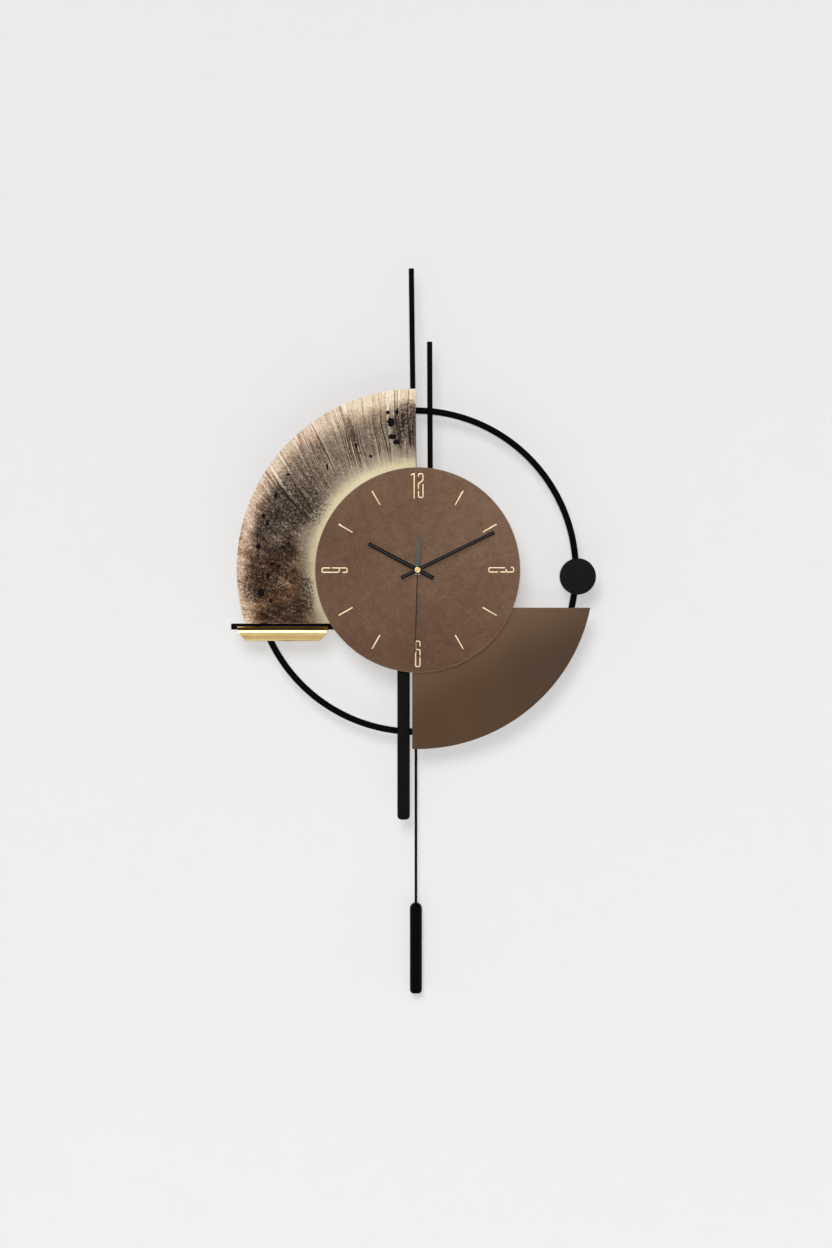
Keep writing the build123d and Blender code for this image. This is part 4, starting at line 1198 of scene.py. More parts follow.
    def rim(self, graph: Graph, flat: Socket, turn: Socket) -> tuple[Socket, Socket]:
        """Share of the pale bark rim, wider towards the top, and how peach it is.

        Args:
            graph: the material's graph.
            flat: place in millimetres.
            turn: angle above the left horizon, in radians.

        Returns:
            The rim's share and the share of peach.
        """
        centre = (self.rim_centre[0], 0.0, self.rim_centre[1])
        depth = graph.minus(self.rim_radius, graph.length(graph.vector("SUBTRACT", flat, centre)))
        torn = graph.times(graph.minus(graph.noise(flat, 0.09, 4.0, 0.6), 0.5), 16.0)
        width = graph.step(turn, 0.3, 1.4, 24.0, 38.0)
        share = graph.math("DIVIDE", graph.plus(depth, torn), width)
        rim = graph.curve(share, self.rim_fall)
        peach = graph.times(graph.step(turn, 1.35, 0.95), graph.step(turn, -0.22, -0.08))
        return rim, peach

    def bark(self, graph: Graph, tone: Socket, peach: Socket) -> Socket:
        """Colours of the rim: cream at the top and the lower left, peach between.

        Args:
            graph: the material's graph.
            tone: 0 dark to 1 pale.
            peach: share of peach.

        Returns:
            The rim's colour.
        """
        warm = graph.ramp(tone, [
            (0.0, rgb(34, 20, 13)), (0.35, rgb(120, 92, 73)), (0.5, rgb(158, 128, 106)),
            (0.65, rgb(190, 160, 137)), (0.8, rgb(215, 190, 166)), (1.0, rgb(242, 226, 206)),
        ])
        cream = graph.ramp(tone, [
            (0.0, rgb(38, 24, 14)), (0.35, rgb(126, 99, 74)), (0.5, rgb(166, 137, 110)),
            (0.65, rgb(201, 174, 144)), (0.8, rgb(229, 210, 182)), (1.0, rgb(246, 236, 216)),
        ])
        return graph.mix(peach, cream, warm)

    def glow(self, graph: Graph, flat: Socket) -> Socket:
        """Share of the pale halo that fades into the wood within 30 mm of the dial.

        Args:
            graph: the material's graph.
            flat: place in millimetres.

        Returns:
            Share, 1 at the dial's rim.
        """
        away = graph.minus(graph.length(flat), self.dial_radius)
        torn = graph.times(graph.minus(graph.noise(flat, 0.1, 4.0, 0.65), 0.5), 9.0)
        share = graph.math("DIVIDE", graph.plus(away, torn), self.glow_reach)
        return graph.curve(share, self.glow_fall)


@dataclass(frozen=True)
class Board(Finish):
    """Pressed wood-fibre board: pale brown felted fibres on its faces and cut edges."""

    dark: Colour
    pale: Colour

    def dress(self, graph: Graph, shader: bpy.types.Node) -> None:
        """Short crossed fibres and soft clouds.

        Args:
            graph: the material's graph.
            shader: the material's Principled node.
        """
        place = graph.place()
        fibre = graph.noise(graph.vector("MULTIPLY", place, (900.0, 900.0, 260.0)), 1.0, 4.0, 0.7, 1.2)
        cloud = graph.noise(place, 60.0, 3.0)
        tone = graph.plus(graph.times(fibre, 0.6), graph.times(cloud, 0.4))
        graph.feed(shader.inputs["Base Color"], graph.ramp(tone, [(0.32, self.dark), (0.66, self.pale)]))
        graph.feed(shader.inputs["Roughness"], graph.step(fibre, 0.3, 0.7, 0.75, 0.92))
        self.bump(graph, shader, fibre, 0.00006)


class Shop:
    """Every finish of the clock, by the maker's name for it."""

    POWDER = Coated(
        "black_powder_coat", rgb(3, 3, 3), rgb(26, 25, 24), (0.42, 0.52), wear=0.2, specular=0.04
    )
    # Painted sheen: the bar is the frame's black powder coat given a lighter base, so that its flat front
    # reads lighter as if catching light.
    BAR_POWDER_SHEEN = Coated(
        "bar_powder_coat_painted_sheen", rgb(13, 13, 12), rgb(44, 43, 41), (0.42, 0.52), wear=0.2, specular=0.06
    )
    # Painted sheen: the accent disc's black is lighter than the frame's, standing in for the light on its
    # flat face; it also has its own satin roughness.
    ACCENT = Coated(
        "accent_satin", rgb(19, 20, 22), rgb(48, 49, 52), (0.36, 0.44), depth=0.000015, wear=0.2,
        specular=0.06
    )
    BOB = Coated(
        "bob_enamel", rgb(2, 3, 3), rgb(22, 22, 22), (0.3, 0.4), depth=0.00001, wear=0.15, specular=0.05
    )
    HAND = Coated(
        "hand_enamel", rgb(6, 6, 7), rgb(30, 30, 32), (0.28, 0.36), depth=0.000006, wear=0.1, specular=0.06
    )
    CASE = Coated("case_plastic", rgb(30, 30, 31), rgb(62, 62, 62), (0.45, 0.6), 1500.0, 0.8, 0.00004)
    RUBBER = Coated("rubber", rgb(24, 24, 24), rgb(48, 47, 45), (0.75, 0.9), 1100.0, 1.0, 0.00006)
    GEAR = Coated("white_gear_plastic", rgb(226, 224, 214), rgb(240, 238, 230), (0.35, 0.5), depth=0.00001)
    RESIN = Coated("board_green", rgb(28, 92, 52), rgb(70, 130, 90), (0.3, 0.45), depth=0.00001)
    LABEL = Coated("battery_label", rgb(150, 30, 34), rgb(190, 80, 70), (0.28, 0.4), depth=0.00001)
    FERRITE = Coated("ferrite", rgb(52, 50, 49), rgb(90, 88, 86), (0.55, 0.7), depth=0.00003)
    # Painted highlight: the flat strip on the hour and minute hands is a lighter grey than the black hand,
    # standing in for the light its ridge catches.
    STRIP_HIGHLIGHT = Coated(
        "hand_strip_painted_highlight", rgb(50, 50, 53), rgb(84, 84, 86), (0.34, 0.44), depth=0.000006, specular=0.12
    )
    NEEDLE = Coated(
        "needle_grey", rgb(76, 85, 84), rgb(40, 44, 44), (0.34, 0.44), depth=0.000006, specular=0.2
    )
    POINTER = Coated(
        "pointer_dark", rgb(46, 44, 42), rgb(80, 80, 78), (0.34, 0.44), depth=0.000006, specular=0.1
    )
    GILT = Metal(
        "gilt_trough", rgb(244, 214, 146), rgb(222, 184, 112), (0.12, 0.2), Brush.ALONG_X, wear=0.8
    )
    CAP_GILT = Metal("gilt_cap", rgb(255, 232, 178), rgb(240, 208, 146), (0.26, 0.36))
    PALE_GILT = Metal("pale_gilt", rgb(246, 226, 190), rgb(232, 206, 164), (0.4, 0.52))
    ZINC = Metal("zinc", rgb(196, 194, 186), rgb(156, 156, 150), (0.3, 0.5))
    NICKEL = Metal("nickel", rgb(206, 202, 192), rgb(170, 166, 156), (0.18, 0.3))
    IRON = Metal("soft_iron", rgb(150, 148, 144), rgb(104, 100, 96), (0.4, 0.55))
    COPPER = Metal("copper", rgb(190, 104, 62), rgb(140, 70, 44), (0.25, 0.4), Brush.ALONG_Z)
    FIBRE = Board("fibre_board", rgb(104, 78, 54), rgb(158, 126, 92))
    LEATHER = Leatherette(
        "dial_leatherette", rgb(86, 61, 47), rgb(108, 83, 66), rgb(132, 107, 87), rgb(140, 116, 96)
    )
    # Brown lacquer with painted sheen: a lighter upper colour over darker lower-left and lower-right ones.
    BROWN = Lacquer("brown_lacquer", rgb(108, 84, 64), rgb(82, 60, 42), rgb(74, 57, 43), rgb(128, 104, 84))
    WOOD = WoodSlice(
        "wood_slice_print",
        holes=(
            (-33.0, 183.0, 5.0, 6.2), (-31.0, 165.0, 5.2, 3.6), (-26.0, 158.5, 4.8, 3.4),
            (-37.0, 195.0, 2.4, 2.8), (-25.5, 196.0, 2.0, 4.0), (-76.0, 154.0, 1.6, 3.8),
            (-58.0, 141.0, 1.9, 2.2), (-197.0, 29.0, 3.6, 3.8), (-167.0, 28.0, 2.6, 2.6),
            (-180.0, 7.0, 2.8, 2.4), (-172.0, 4.0, 2.4, 2.8), (-185.0, -7.0, 2.8, 3.8),
            (-194.0, -28.0, 4.4, 6.2), (-182.0, -38.0, 2.4, 3.0), (-191.0, 67.0, 2.4, 3.4),
            (-160.0, 33.0, 1.8, 2.0), (-176.0, 92.0, 1.8, 4.6), (-186.0, 58.0, 2.2, 4.0),
            (-112.0, 128.0, 1.4, 4.2), (-160.0, 118.0, 3.4, 1.4),
        ),
        stains=(
            (-163.0, -52.0, 26.0, 13.0), (-156.0, -6.0, 7.0, 9.0), (-186.0, 3.0, 18.0, 12.0),
            (-150.0, 80.0, 30.0, 24.0), (-10.0, 186.0, 11.0, 20.0), (-185.0, 58.0, 14.0, 12.0),
            (-22.0, 178.0, 8.0, 22.0), (-200.0, -22.0, 16.0, 16.0), (-168.0, 20.0, 16.0, 12.0),
            (-140.0, -30.0, 10.0, 22.0),
        ),
    )


SLOT_FINISH: dict[str, Finish] = {
    "black_frame": Shop.POWDER,
    "black_accent": Shop.ACCENT,
    "board": Shop.FIBRE,
    "wood_print": Shop.WOOD,
    "brown_lacquer": Shop.BROWN,
    "gilt": Shop.GILT,
    "pale_gilt": Shop.PALE_GILT,
    "dial_leather": Shop.LEATHER,
    "zinc": Shop.ZINC,
    "nickel": Shop.NICKEL,
    "black_rubber": Shop.RUBBER,
    "hand_black": Shop.HAND,
    "needle_grey": Shop.NEEDLE,
    "black_case": Shop.CASE,
    "white_gear": Shop.GEAR,
    "ferrite": Shop.FERRITE,
    "soft_iron": Shop.IRON,
    "copper": Shop.COPPER,
    "board_green": Shop.RESIN,
    "battery_label": Shop.LABEL,
    "bob_black": Shop.BOB,
    "pin_steel": Shop.NICKEL,
}


def paint(piece: bpy.types.Object, *finishes: Finish) -> bpy.types.Object:
    """Gives a piece its materials, the first one for index 0.

    Args:
        piece: the piece.
        finishes: its finishes in order of material index.

    Returns:
        The piece.
    """
    tones = np.zeros(len(piece.data.polygons), np.int32)
    piece.data.polygons.foreach_get("material_index", tones)
    piece.data.materials.clear()
    for finish in finishes:
        piece.data.materials.append(finish.material())
    piece.data.polygons.foreach_set("material_index", tones)
    return piece


def stand_in(
    shape: Shape, node: str, suffix: str, slot: str, *finishes: Finish, body: str = "clock_frame",
    sharp: float = 35.0
) -> bpy.types.Object:
    """Builds and paints the piece that takes a CAD node's place.

    Args:
        shape: its surfaces.
        node: the CAD node; the piece is named after it.
        suffix: end of the piece's name.
        slot: material slot of the record.
        finishes: its finishes in order of material index.
        body: CAD body that it rides on.
        sharp: edges that turn by more than this many degrees stay crisp.

    Returns:
        The piece.
    """
    return paint(shape.build(f"{node}_{suffix}", body, slot, [node], sharp), *finishes)


def paint_node(node: str, finish: Finish) -> None:
    """Puts a finish in every material slot of a CAD node's object."""
    carried = frame["nodes"][node]
    if not carried.material_slots:
        carried.data.materials.append(finish.material())
    for slot in carried.material_slots:
        slot.material = finish.material()


def node_slots() -> dict[str, str]:
    """Reads the record's material slot of every node."""
    return {part["node"]: part["material_slot"] for part in frame["record"]["subparts"]}


# ---------------------------------------------------------------- sub-assemblies


@dataclass
class RodFrame:
    """Welded frame of coated rods: ring, two uprights, the horizon rod and the flat bar."""

    tip: float = 0.8 * MM
    bar_edge: float = 2.9 * MM
    bar_foot: float = 5.0 * MM
    uprights: tuple[str, ...] = ("tall_rod", "short_rod")

    def ring(self) -> None:
        """Closed ring of round wire."""
        box = Box.of("ring_rod")
        wire = box.size[1] / 2
        shape = Shape().add(torus_grid(box.middle, box.size[0] / 2 - wire, wire), caps=False)
        stand_in(shape, "ring_rod", "coated", "black_frame", Shop.POWDER)

    def upright(self, node: str) -> None:
        """Round rod that leans a little to the left at its top."""
        box = Box.of(node)
        radius = box.size[1] / 2
        foot = (box.high[0] - radius, box.middle[1], box.low[2])
        top = (box.low[0] + radius, box.middle[1], box.high[2])
        shape = Shape().add(rod_grid(foot, top, radius, self.tip))
        stand_in(shape, node, "coated", "black_frame", Shop.POWDER)

    def horizon(self) -> None:
        """Level rod under the printed panel."""
        box = Box.of("horizon_rod")
        radius = box.size[1] / 2
        ends = [(x, box.middle[1], box.middle[2]) for x in (box.low[0], box.high[0])]
        shape = Shape().add(rod_grid(ends[0], ends[1], radius, self.tip))
        stand_in(shape, "horizon_rod", "coated", "black_frame", Shop.POWDER)

    def bar(self) -> None:
        """Flat bar with round long edges; its section shrinks in quarter circles towards the foot."""
        box = Box.of("hanging_bar")
        half = box.size[0] / 2
        thick = box.size[1] / 2
        quarter = np.linspace(0.0, np.pi / 2, 7)
        edge = self.bar_edge
        cos, sin = np.cos(quarter), np.sin(quarter)
        corner_x = np.concatenate([cos, -sin, -cos, sin]) * edge
        corner_y = np.concatenate([sin, cos, -sin, -cos]) * edge
        side_x = np.repeat([1, -1, -1, 1], 7) * (half - edge)
        side_y = np.repeat([1, 1, -1, -1], 7) * (thick - edge)
        turn = np.linspace(0.0, np.pi / 2, 9)
        rise = self.bar_foot * (1 - np.sin(turn[::-1]))
        height = np.concatenate([box.low[2] + rise, [box.high[2]]])[:, None]
        shrink = np.concatenate([self.bar_foot * (1 - np.cos(turn[::-1])), [0.0]])[:, None]
        x = box.middle[0] + (side_x + corner_x) * (1 - shrink / half)
        across = np.repeat((side_y + corner_y)[None, :], len(height), axis=0)
        y = box.middle[1] + across * (1 - 0.1 * shrink / half)
        grid = face(x, np.repeat(height, x.shape[1], axis=1), y)
        shape = Shape().add(grid)
        # The bar takes the lighter copy of the powder coat: painted sheen on its flat front.
        stand_in(shape, "hanging_bar", "coated", "black_frame", Shop.BAR_POWDER_SHEEN)

    def make(self) -> None:
        """Builds every rod."""
        self.ring()
        for node in self.uprights:
            self.upright(node)
        self.horizon()
        self.bar()


@dataclass
class SectorPanels:
    """The two quarter panels round the dial, and the round accent."""

    wood_radius: float = 223.2 * MM
    brown_radius: float = 218.3 * MM
    inner_radius: float = 105.0 * MM
    edge: float = 0.35 * MM
    board_edge: float = 0.1 * MM
    print_edge: float = 0.12 * MM
    accent_edge: float = 0.5 * MM

    def outline(self, node: str, radius: float, side: tuple[int, int]) -> np.ndarray:
        """Quarter of a ring cut by an upright and a level edge.

        In coordinates mirrored so that the kept quarter is right and up, it is the outer arc from
        the level edge to the upright edge and the inner arc back.

        Args:
            node: CAD node whose box gives the edges.
            radius: outer radius.
            side: signs of x and z of the kept quarter.

        Returns:
            Closed outline, counter-clockwise.
        """
        box = Box.of(node)
        sign = np.array(side, float)
        far = np.where(sign > 0, box.high[[0, 2]], box.low[[0, 2]]) * sign
        near = np.where(sign > 0, box.low[[0, 2]], box.high[[0, 2]]) * sign
        axis = AXIS * sign
        centre = np.array([far[0] - radius, far[1] - radius])
        if node == "brown_panel":
            centre[0] = axis[0]
        cut = near - centre
        outer = arc(centre, radius, math.asin(cut[1] / radius), math.acos(cut[0] / radius), 200)
        hub = near - axis
        start, end = math.acos(hub[0] / self.inner_radius), math.asin(hub[1] / self.inner_radius)
        inner = arc(axis, self.inner_radius, start, end, 100)
        return counter_clockwise(np.concatenate([outer, inner]) * sign)

    def printed(self) -> None:
        """Fibre board with its printed skin in front."""
        outline = self.outline("wood_panel_board", self.wood_radius, (-1, 1))
        board, skin = Box.of("wood_panel_board"), Box.of("wood_panel_print")
        back = Shape().add(slab(outline, board.high[1], board.low[1], self.board_edge))
        paint(back.build("wood_panel_backing", "clock_frame", "board", ["wood_panel_board"]), Shop.FIBRE)
        front = Shape().add(slab(outline, skin.high[1], skin.low[1], self.print_edge))
        paint(front.build("wood_panel_face", "clock_frame", "wood_print", ["wood_panel_print"]), Shop.WOOD)

    def lacquered(self) -> None:
        """Brown panel with rounded rims."""
        outline = self.outline("brown_panel", self.brown_radius, (1, -1))
        box = Box.of("brown_panel")
        shape = Shape().add(slab(outline, box.high[1], box.low[1], self.edge))
        stand_in(shape, "brown_panel", "lacquered", "brown_lacquer", Shop.BROWN)

    def accent(self) -> None:
        """Round black plate at the right of the ring."""
        box = Box.of("accent_disc")
        profile = rounded_profile(box.size[0] / 2, box.high[1], box.low[1], self.accent_edge)
        shape = Shape().add(turned(profile, box.middle[[0, 2]], 128), caps=False)
        stand_in(shape, "accent_disc", "coated", "black_accent", Shop.ACCENT)

    def make(self) -> None:
        """Builds both panels and the accent."""
        self.printed()
        self.lacquered()
        self.accent()


@dataclass
class Trough:
    """Bowed gilt strip on the horizon rod, with ends that curve inwards."""

    bulge: float = 5.0 * MM
    sheet: float = 1.2 * MM
    foot_inset: tuple[float, float] = (11.3 * MM, 11.5 * MM)
    rim: float = 0.2 * MM

    def make(self) -> None:
        """Arc section carried from end to end; the ends curve inwards with the square of the depth."""
        box = Box.of("gold_trough")
        chord = box.size[2]
        radius = (chord**2 / 4 + self.bulge**2) / (2 * self.bulge)
        inner = radius - self.sheet
        hub_y = box.high[1] + radius - self.bulge
        outer_turn = np.linspace(1.0, -1.0, 33) * math.asin(chord / 2 / radius)
        inner_turn = np.linspace(-1.0, 1.0, 33) * math.acos((radius - self.bulge) / inner)
        reach = np.repeat([radius, inner], 33)
        turn = np.concatenate([outer_turn, inner_turn])
        section_y = hub_y - reach * np.cos(turn)
        section_z = box.middle[2] + reach * np.sin(turn)
        share = ((box.high[2] - section_z) / chord) ** 2
        left = box.low[0] + self.foot_inset[0] * share
        right = box.high[0] - self.foot_inset[1] * share
        x = left + (right - left) * np.linspace(0.0, 1.0, 41)[:, None]
        grid = face(x, np.broadcast_to(section_z, x.shape), np.broadcast_to(section_y, x.shape))
        piece = Shape().add(grid).build("gold_trough_strip", "clock_frame", "gilt", ["gold_trough"])
        bevel = piece.modifiers.new("rim", "BEVEL")
        bevel.width = self.rim
        bevel.segments = 2
        bevel.limit_method = "ANGLE"
        bevel.harden_normals = True
        paint(piece, Shop.GILT)


@dataclass
class Dial:
    """Fibre board with its leatherette, the raised figures and batons, and the fixing nut.

    A stroke of a figure is its corners and their radius, in millimetres from the hand axis. The
    nut's section is its reach and its depth from the back, in millimetres.
    """

    hole: float = 4.1 * MM
    rolled: float = 0.45 * MM
    mark_width: float = 1.7 * MM
    mark_edge: float = 0.35 * MM
    baton_span: tuple[float, float] = (93.0 * MM, 113.0 * MM)
    baton_hours: tuple[int, ...] = (1, 2, 4, 5, 7, 8, 10, 11)
    strokes: tuple[tuple[tuple[tuple[float, float], ...], float], ...] = (
        (((-8.0, 117.6), (-4.3, 119.0), (-4.3, 88.8)), 0.0),
        (((1.1, 116.0), (1.1, 119.0), (6.7, 119.0), (6.7, 110.4), (1.1, 107.4), (1.1, 98.0)), 2.2),
        (((1.1, 100.0), (1.1, 89.6), (6.7, 89.6), (6.7, 105.6)), 2.2),
        (((116.2, 3.0), (118.9, 3.0), (118.9, -2.7), (100.0, -2.7)), 2.0),
        (((102.0, -2.7), (88.3, -2.7), (88.3, 2.6), (108.0, 2.6)), 2.0),
        (((109.6, -2.7), (109.6, 0.4)), 0.0),
        (((2.9, -94.1), (2.9, -88.3), (-2.5, -88.3), (-2.5, -100.0)), 2.0),
        (((-2.5, -98.0), (-2.5, -119.7), (2.9, -119.7), (2.9, -106.0)), 2.0),
        (((2.9, -108.0), (2.9, -98.6), (-2.5, -98.6)), 2.0),
        (((-97.0, 2.2), (-97.0, -3.1), (-118.2, -3.1), (-118.2, 2.3), (-106.0, 2.3)), 2.0),
        (((-108.0, 2.3), (-87.2, 2.3), (-87.2, -3.1), (-92.4, -3.1)), 2.0),
    )
    washer_bore: float = 4.0 * MM
    washer_edge: float = 0.15 * MM
    nut_reach: tuple[float, ...] = (4.0, 4.1, 4.9, 6.5, 6.5, 4.9, 4.1, 4.0, 4.0)
    nut_depth: tuple[float, ...] = (0.1, 0.0, 0.0, 0.6, 1.9, 2.5, 2.5, 2.4, 0.1)

    def sheet(self) -> None:
        """Board and leatherette as rings about the hand axis, open in the middle."""
        leather, board = Box.of("dial_leather"), Box.of("dial_board")
        radius = leather.size[0] / 2
        steps = np.linspace(0.0, np.pi / 2, 5)
        inwards, drop = self.rolled * (1 - np.cos(steps)), self.rolled * (1 - np.sin(steps))
        rim = np.stack([radius - inwards, leather.low[1] + drop], axis=1)
        reach = np.linspace(self.hole, radius - 2 * self.rolled, 8)
        top = np.stack([reach, np.full(8, leather.low[1])], axis=1)
        under = [[radius, leather.high[1]], [self.hole, leather.high[1]], [self.hole, leather.low[1]]]
        profile = np.concatenate([top, rim[::-1], under])
        shape = Shape().add(turned(profile, AXIS, 256), caps=False)
        stand_in(shape, "dial_leather", "sheet", "dial_leather", Shop.LEATHER)
        profile = np.array([
            [self.hole, board.low[1]], [radius - 0.1 * MM, board.low[1]], [radius, board.low[1] + 0.1 * MM],
            [radius, board.high[1] - 0.3 * MM], [radius - 0.3 * MM, board.high[1]],
            [self.hole, board.high[1]], [self.hole, board.low[1]],
        ])
        shape = Shape().add(turned(profile, AXIS, 256), caps=False)
        stand_in(shape, "dial_board", "disc", "board", Shop.FIBRE)

    def raised(self, shape: Shape, path: Sequence[tuple[float, float]], radius: float = 0.0) -> None:
        """Adds one raised stroke of a figure.

        Args:
            shape: shape that it joins.
            path: corners in millimetres from the hand axis.
            radius: corner radius in millimetres.
        """
        corners = np.array(path, float) * MM
        line = rounded_path(corners, radius * MM) if radius and len(corners) > 2 else corners
        if len(line) == 2:
            line = np.linspace(line[0], line[1], 3)
        outline = stroke_outline(line, self.mark_width) + AXIS
        box = Box.of("numerals")
        shape.add(slab(outline, box.high[1], box.low[1], self.mark_edge, 3))

    def figures(self) -> None:
        """Twelve, three, six and nine in bent strip; three and nine lie on their sides."""
        shape = Shape()
        for path, radius in self.strokes:
            self.raised(shape, path, radius)
        stand_in(shape, "numerals", "raised", "pale_gilt", Shop.PALE_GILT)

    def batons(self) -> None:
        """Straight strips at the other eight hours."""
        shape = Shape()
        box = Box.of("hour_batons")
        half = self.mark_width / 2
        low, high = self.baton_span
        strip = np.array([[-half, low], [half, low], [half, high], [-half, high]])
        for hour in self.baton_hours:
            baton = counter_clockwise(spun(strip, 30.0 * hour))
            shape.add(slab(baton, box.high[1], box.low[1], self.mark_edge, 3))
        stand_in(shape, "hour_batons", "raised", "pale_gilt", Shop.PALE_GILT)

    def fixing(self) -> None:
        """Washer with rounded rims and a hexagonal nut with turned chamfers."""
        washer = Box.of("washer")
        outer, bore, edge = washer.size[0] / 2, self.washer_bore, self.washer_edge
        profile = np.array([
            [bore, washer.high[1]], [outer - edge, washer.high[1]], [outer, washer.high[1] - edge],
            [outer, washer.low[1] + edge], [outer - edge, washer.low[1]], [bore, washer.low[1]],
            [bore, washer.high[1]],
        ])
        shape = Shape().add(turned(profile, AXIS, 96), caps=False)
        stand_in(shape, "washer", "turned", "zinc", Shop.NICKEL)
        nut = Box.of("hex_nut")
        flat = nut.size[2] / 2
        turn = circle(96)
        hexagon = flat / np.cos((turn + np.pi / 6) % (np.pi / 3) - np.pi / 6)
        reach = np.array(self.nut_reach) * MM
        place = nut.high[1] - np.array(self.nut_depth) * MM
        radius = np.minimum(reach[:, None], hexagon[None, :])
        grid = face(AXIS[0] + radius * np.cos(turn), AXIS[1] + radius * np.sin(turn), place[:, None])
        shape = Shape().add(grid, caps=False)
        stand_in(shape, "hex_nut", "turned", "zinc", Shop.NICKEL, sharp=20.0)

    def make(self) -> None:
        """Builds the dial and what is fixed to its face."""
        self.sheet()
        self.figures()
        self.batons()
        self.fixing()


@dataclass(frozen=True)
class StickHand:
    """Stick hand with bevelled sides and a flat strip along its middle, painted pale grey as a highlight.
    """

    node: str
    body: str
    angle: float
    length: float
    tail: float
    width: float
    boss: float
    bore: float
    strip: float = 1.6 * MM
    tip_taper: float = 0.92
    end_bevel: float = 0.8 * MM
    back_edge: float = 0.1 * MM
    front_edge: float = 0.2 * MM

    def make(self) -> None:
        """Four-sided rings: the blank, its rim and the strip on top, and a bored boss."""
        box = Box.of(self.node)
        back, front = box.high[1], box.low[1]
        rim = (back + front) / 2
        half, flat = self.width / 2, self.strip / 2
        rings = []
        for wide, ends, y in ((half, 0.0, back), (half, 0.0, rim), (flat, self.end_bevel, front)):
            tip = wide * self.tip_taper
            ring = np.array([
                [-wide, -self.tail + ends], [wide, -self.tail + ends], [tip, self.length - ends],
                [-tip, self.length - ends],
            ])
            turned_ring = spun(ring, self.angle)
            rings.append(face(turned_ring[:, 0], turned_ring[:, 1], y))
        shape = Shape().add(np.stack(rings), cap_tone=1)
        profile = np.array([
            [self.bore, back], [self.boss - self.back_edge, back], [self.boss, back - self.back_edge],
            [self.boss, front + self.front_edge], [self.boss - self.front_edge, front], [self.bore, front],
            [self.bore, back],
        ])
        shape.add(turned(profile, AXIS, 64), caps=False)
        # The strip's face takes the pale grey of the painted highlight.
        tones = Shop.HAND, Shop.STRIP_HIGHLIGHT
        stand_in(shape, self.node, "blank", "hand_black", *tones, body=self.body, sharp=18.0)


@dataclass
class Hands:
    """Hour, minute and second hand, and the gilt cap."""

    second_angle: float = 181.8
    second_length: float = 103.4 * MM
    second_tail: float = 42.7 * MM
    second_width: float = 1.5 * MM
    tail_width: float = 3.6 * MM
    shoulder: float = 6.0 * MM
    second_boss: float = 4.2 * MM
    second_edge: float = 0.12 * MM
    cap_crown: float = 1.1 * MM
    cap_edge: float = 0.1 * MM
    cap_dish: tuple[tuple[float, float], ...] = ((1.45, 0.9), (1.0, 0.55), (0.0, 0.4))

    def needle(self) -> None:
        """Second hand: tapered pointer, broad tail with a raised edge, and a boss."""
        box = Box.of("second_hand")
        half, tail = self.second_width / 2, self.tail_width / 2
        weight = np.array([
            [-tail, -self.second_tail], [tail, -self.second_tail], [tail, -self.shoulder], [half, 0.0],
            [-half, 0.0], [-tail, -self.shoulder],
        ])
        pointer = np.array([
            [-half, 0.0], [half, 0.0], [0.8 * half, self.second_length], [-0.8 * half, self.second_length],
        ])
        shape = Shape()
        for tone, outline in enumerate((weight, pointer)):
            blank = counter_clockwise(spun(outline, self.second_angle))
            shape.add(slab(blank, box.high[1], box.low[1], self.second_edge, 3), tone=tone)
        profile = rounded_profile(self.second_boss, box.high[1], box.low[1], self.second_edge, 3)
        shape.add(turned(profile, AXIS, 64), caps=False, tone=1)
        tones = Shop.NEEDLE, Shop.POINTER
        stand_in(shape, "second_hand", "blank", "needle_grey", *tones, body="second_stack")

    def cap(self) -> None:
        """Turned cap: a round rim about a shallow dish."""
        box = Box.of("second_hand_cap")
        radius, back, front = box.size[0] / 2, box.high[1], box.low[1]
        t = np.linspace(0.0, np.pi, 13)
        bend, edge = self.cap_crown, self.cap_edge
        crown = np.stack([radius - bend + bend * np.cos(t), front + bend - bend * np.sin(t)], axis=1)
        dish = np.array(self.cap_dish) * MM + [0.0, front]
        profile = np.concatenate([[[0.0, back], [radius - edge, back], [radius, back - edge]], crown, dish])
        shape = Shape().add(turned(profile, AXIS, 64), caps=False)
        stand_in(shape, "second_hand_cap", "turned", "gilt", Shop.CAP_GILT, body="second_stack")

    def make(self) -> None:
        """Builds the hands from the dial outwards."""
        StickHand(
            "hour_hand", "hour_stack", 298.0, 69.0 * MM, 22.5 * MM, 5.2 * MM, 5.0 * MM, 2.55 * MM
        ).make()
        StickHand(
            "minute_hand", "minute_stack", 63.9, 105.7 * MM, 22.7 * MM, 4.8 * MM, 4.6 * MM, 1.6 * MM
        ).make()
        self.needle()
        self.cap()


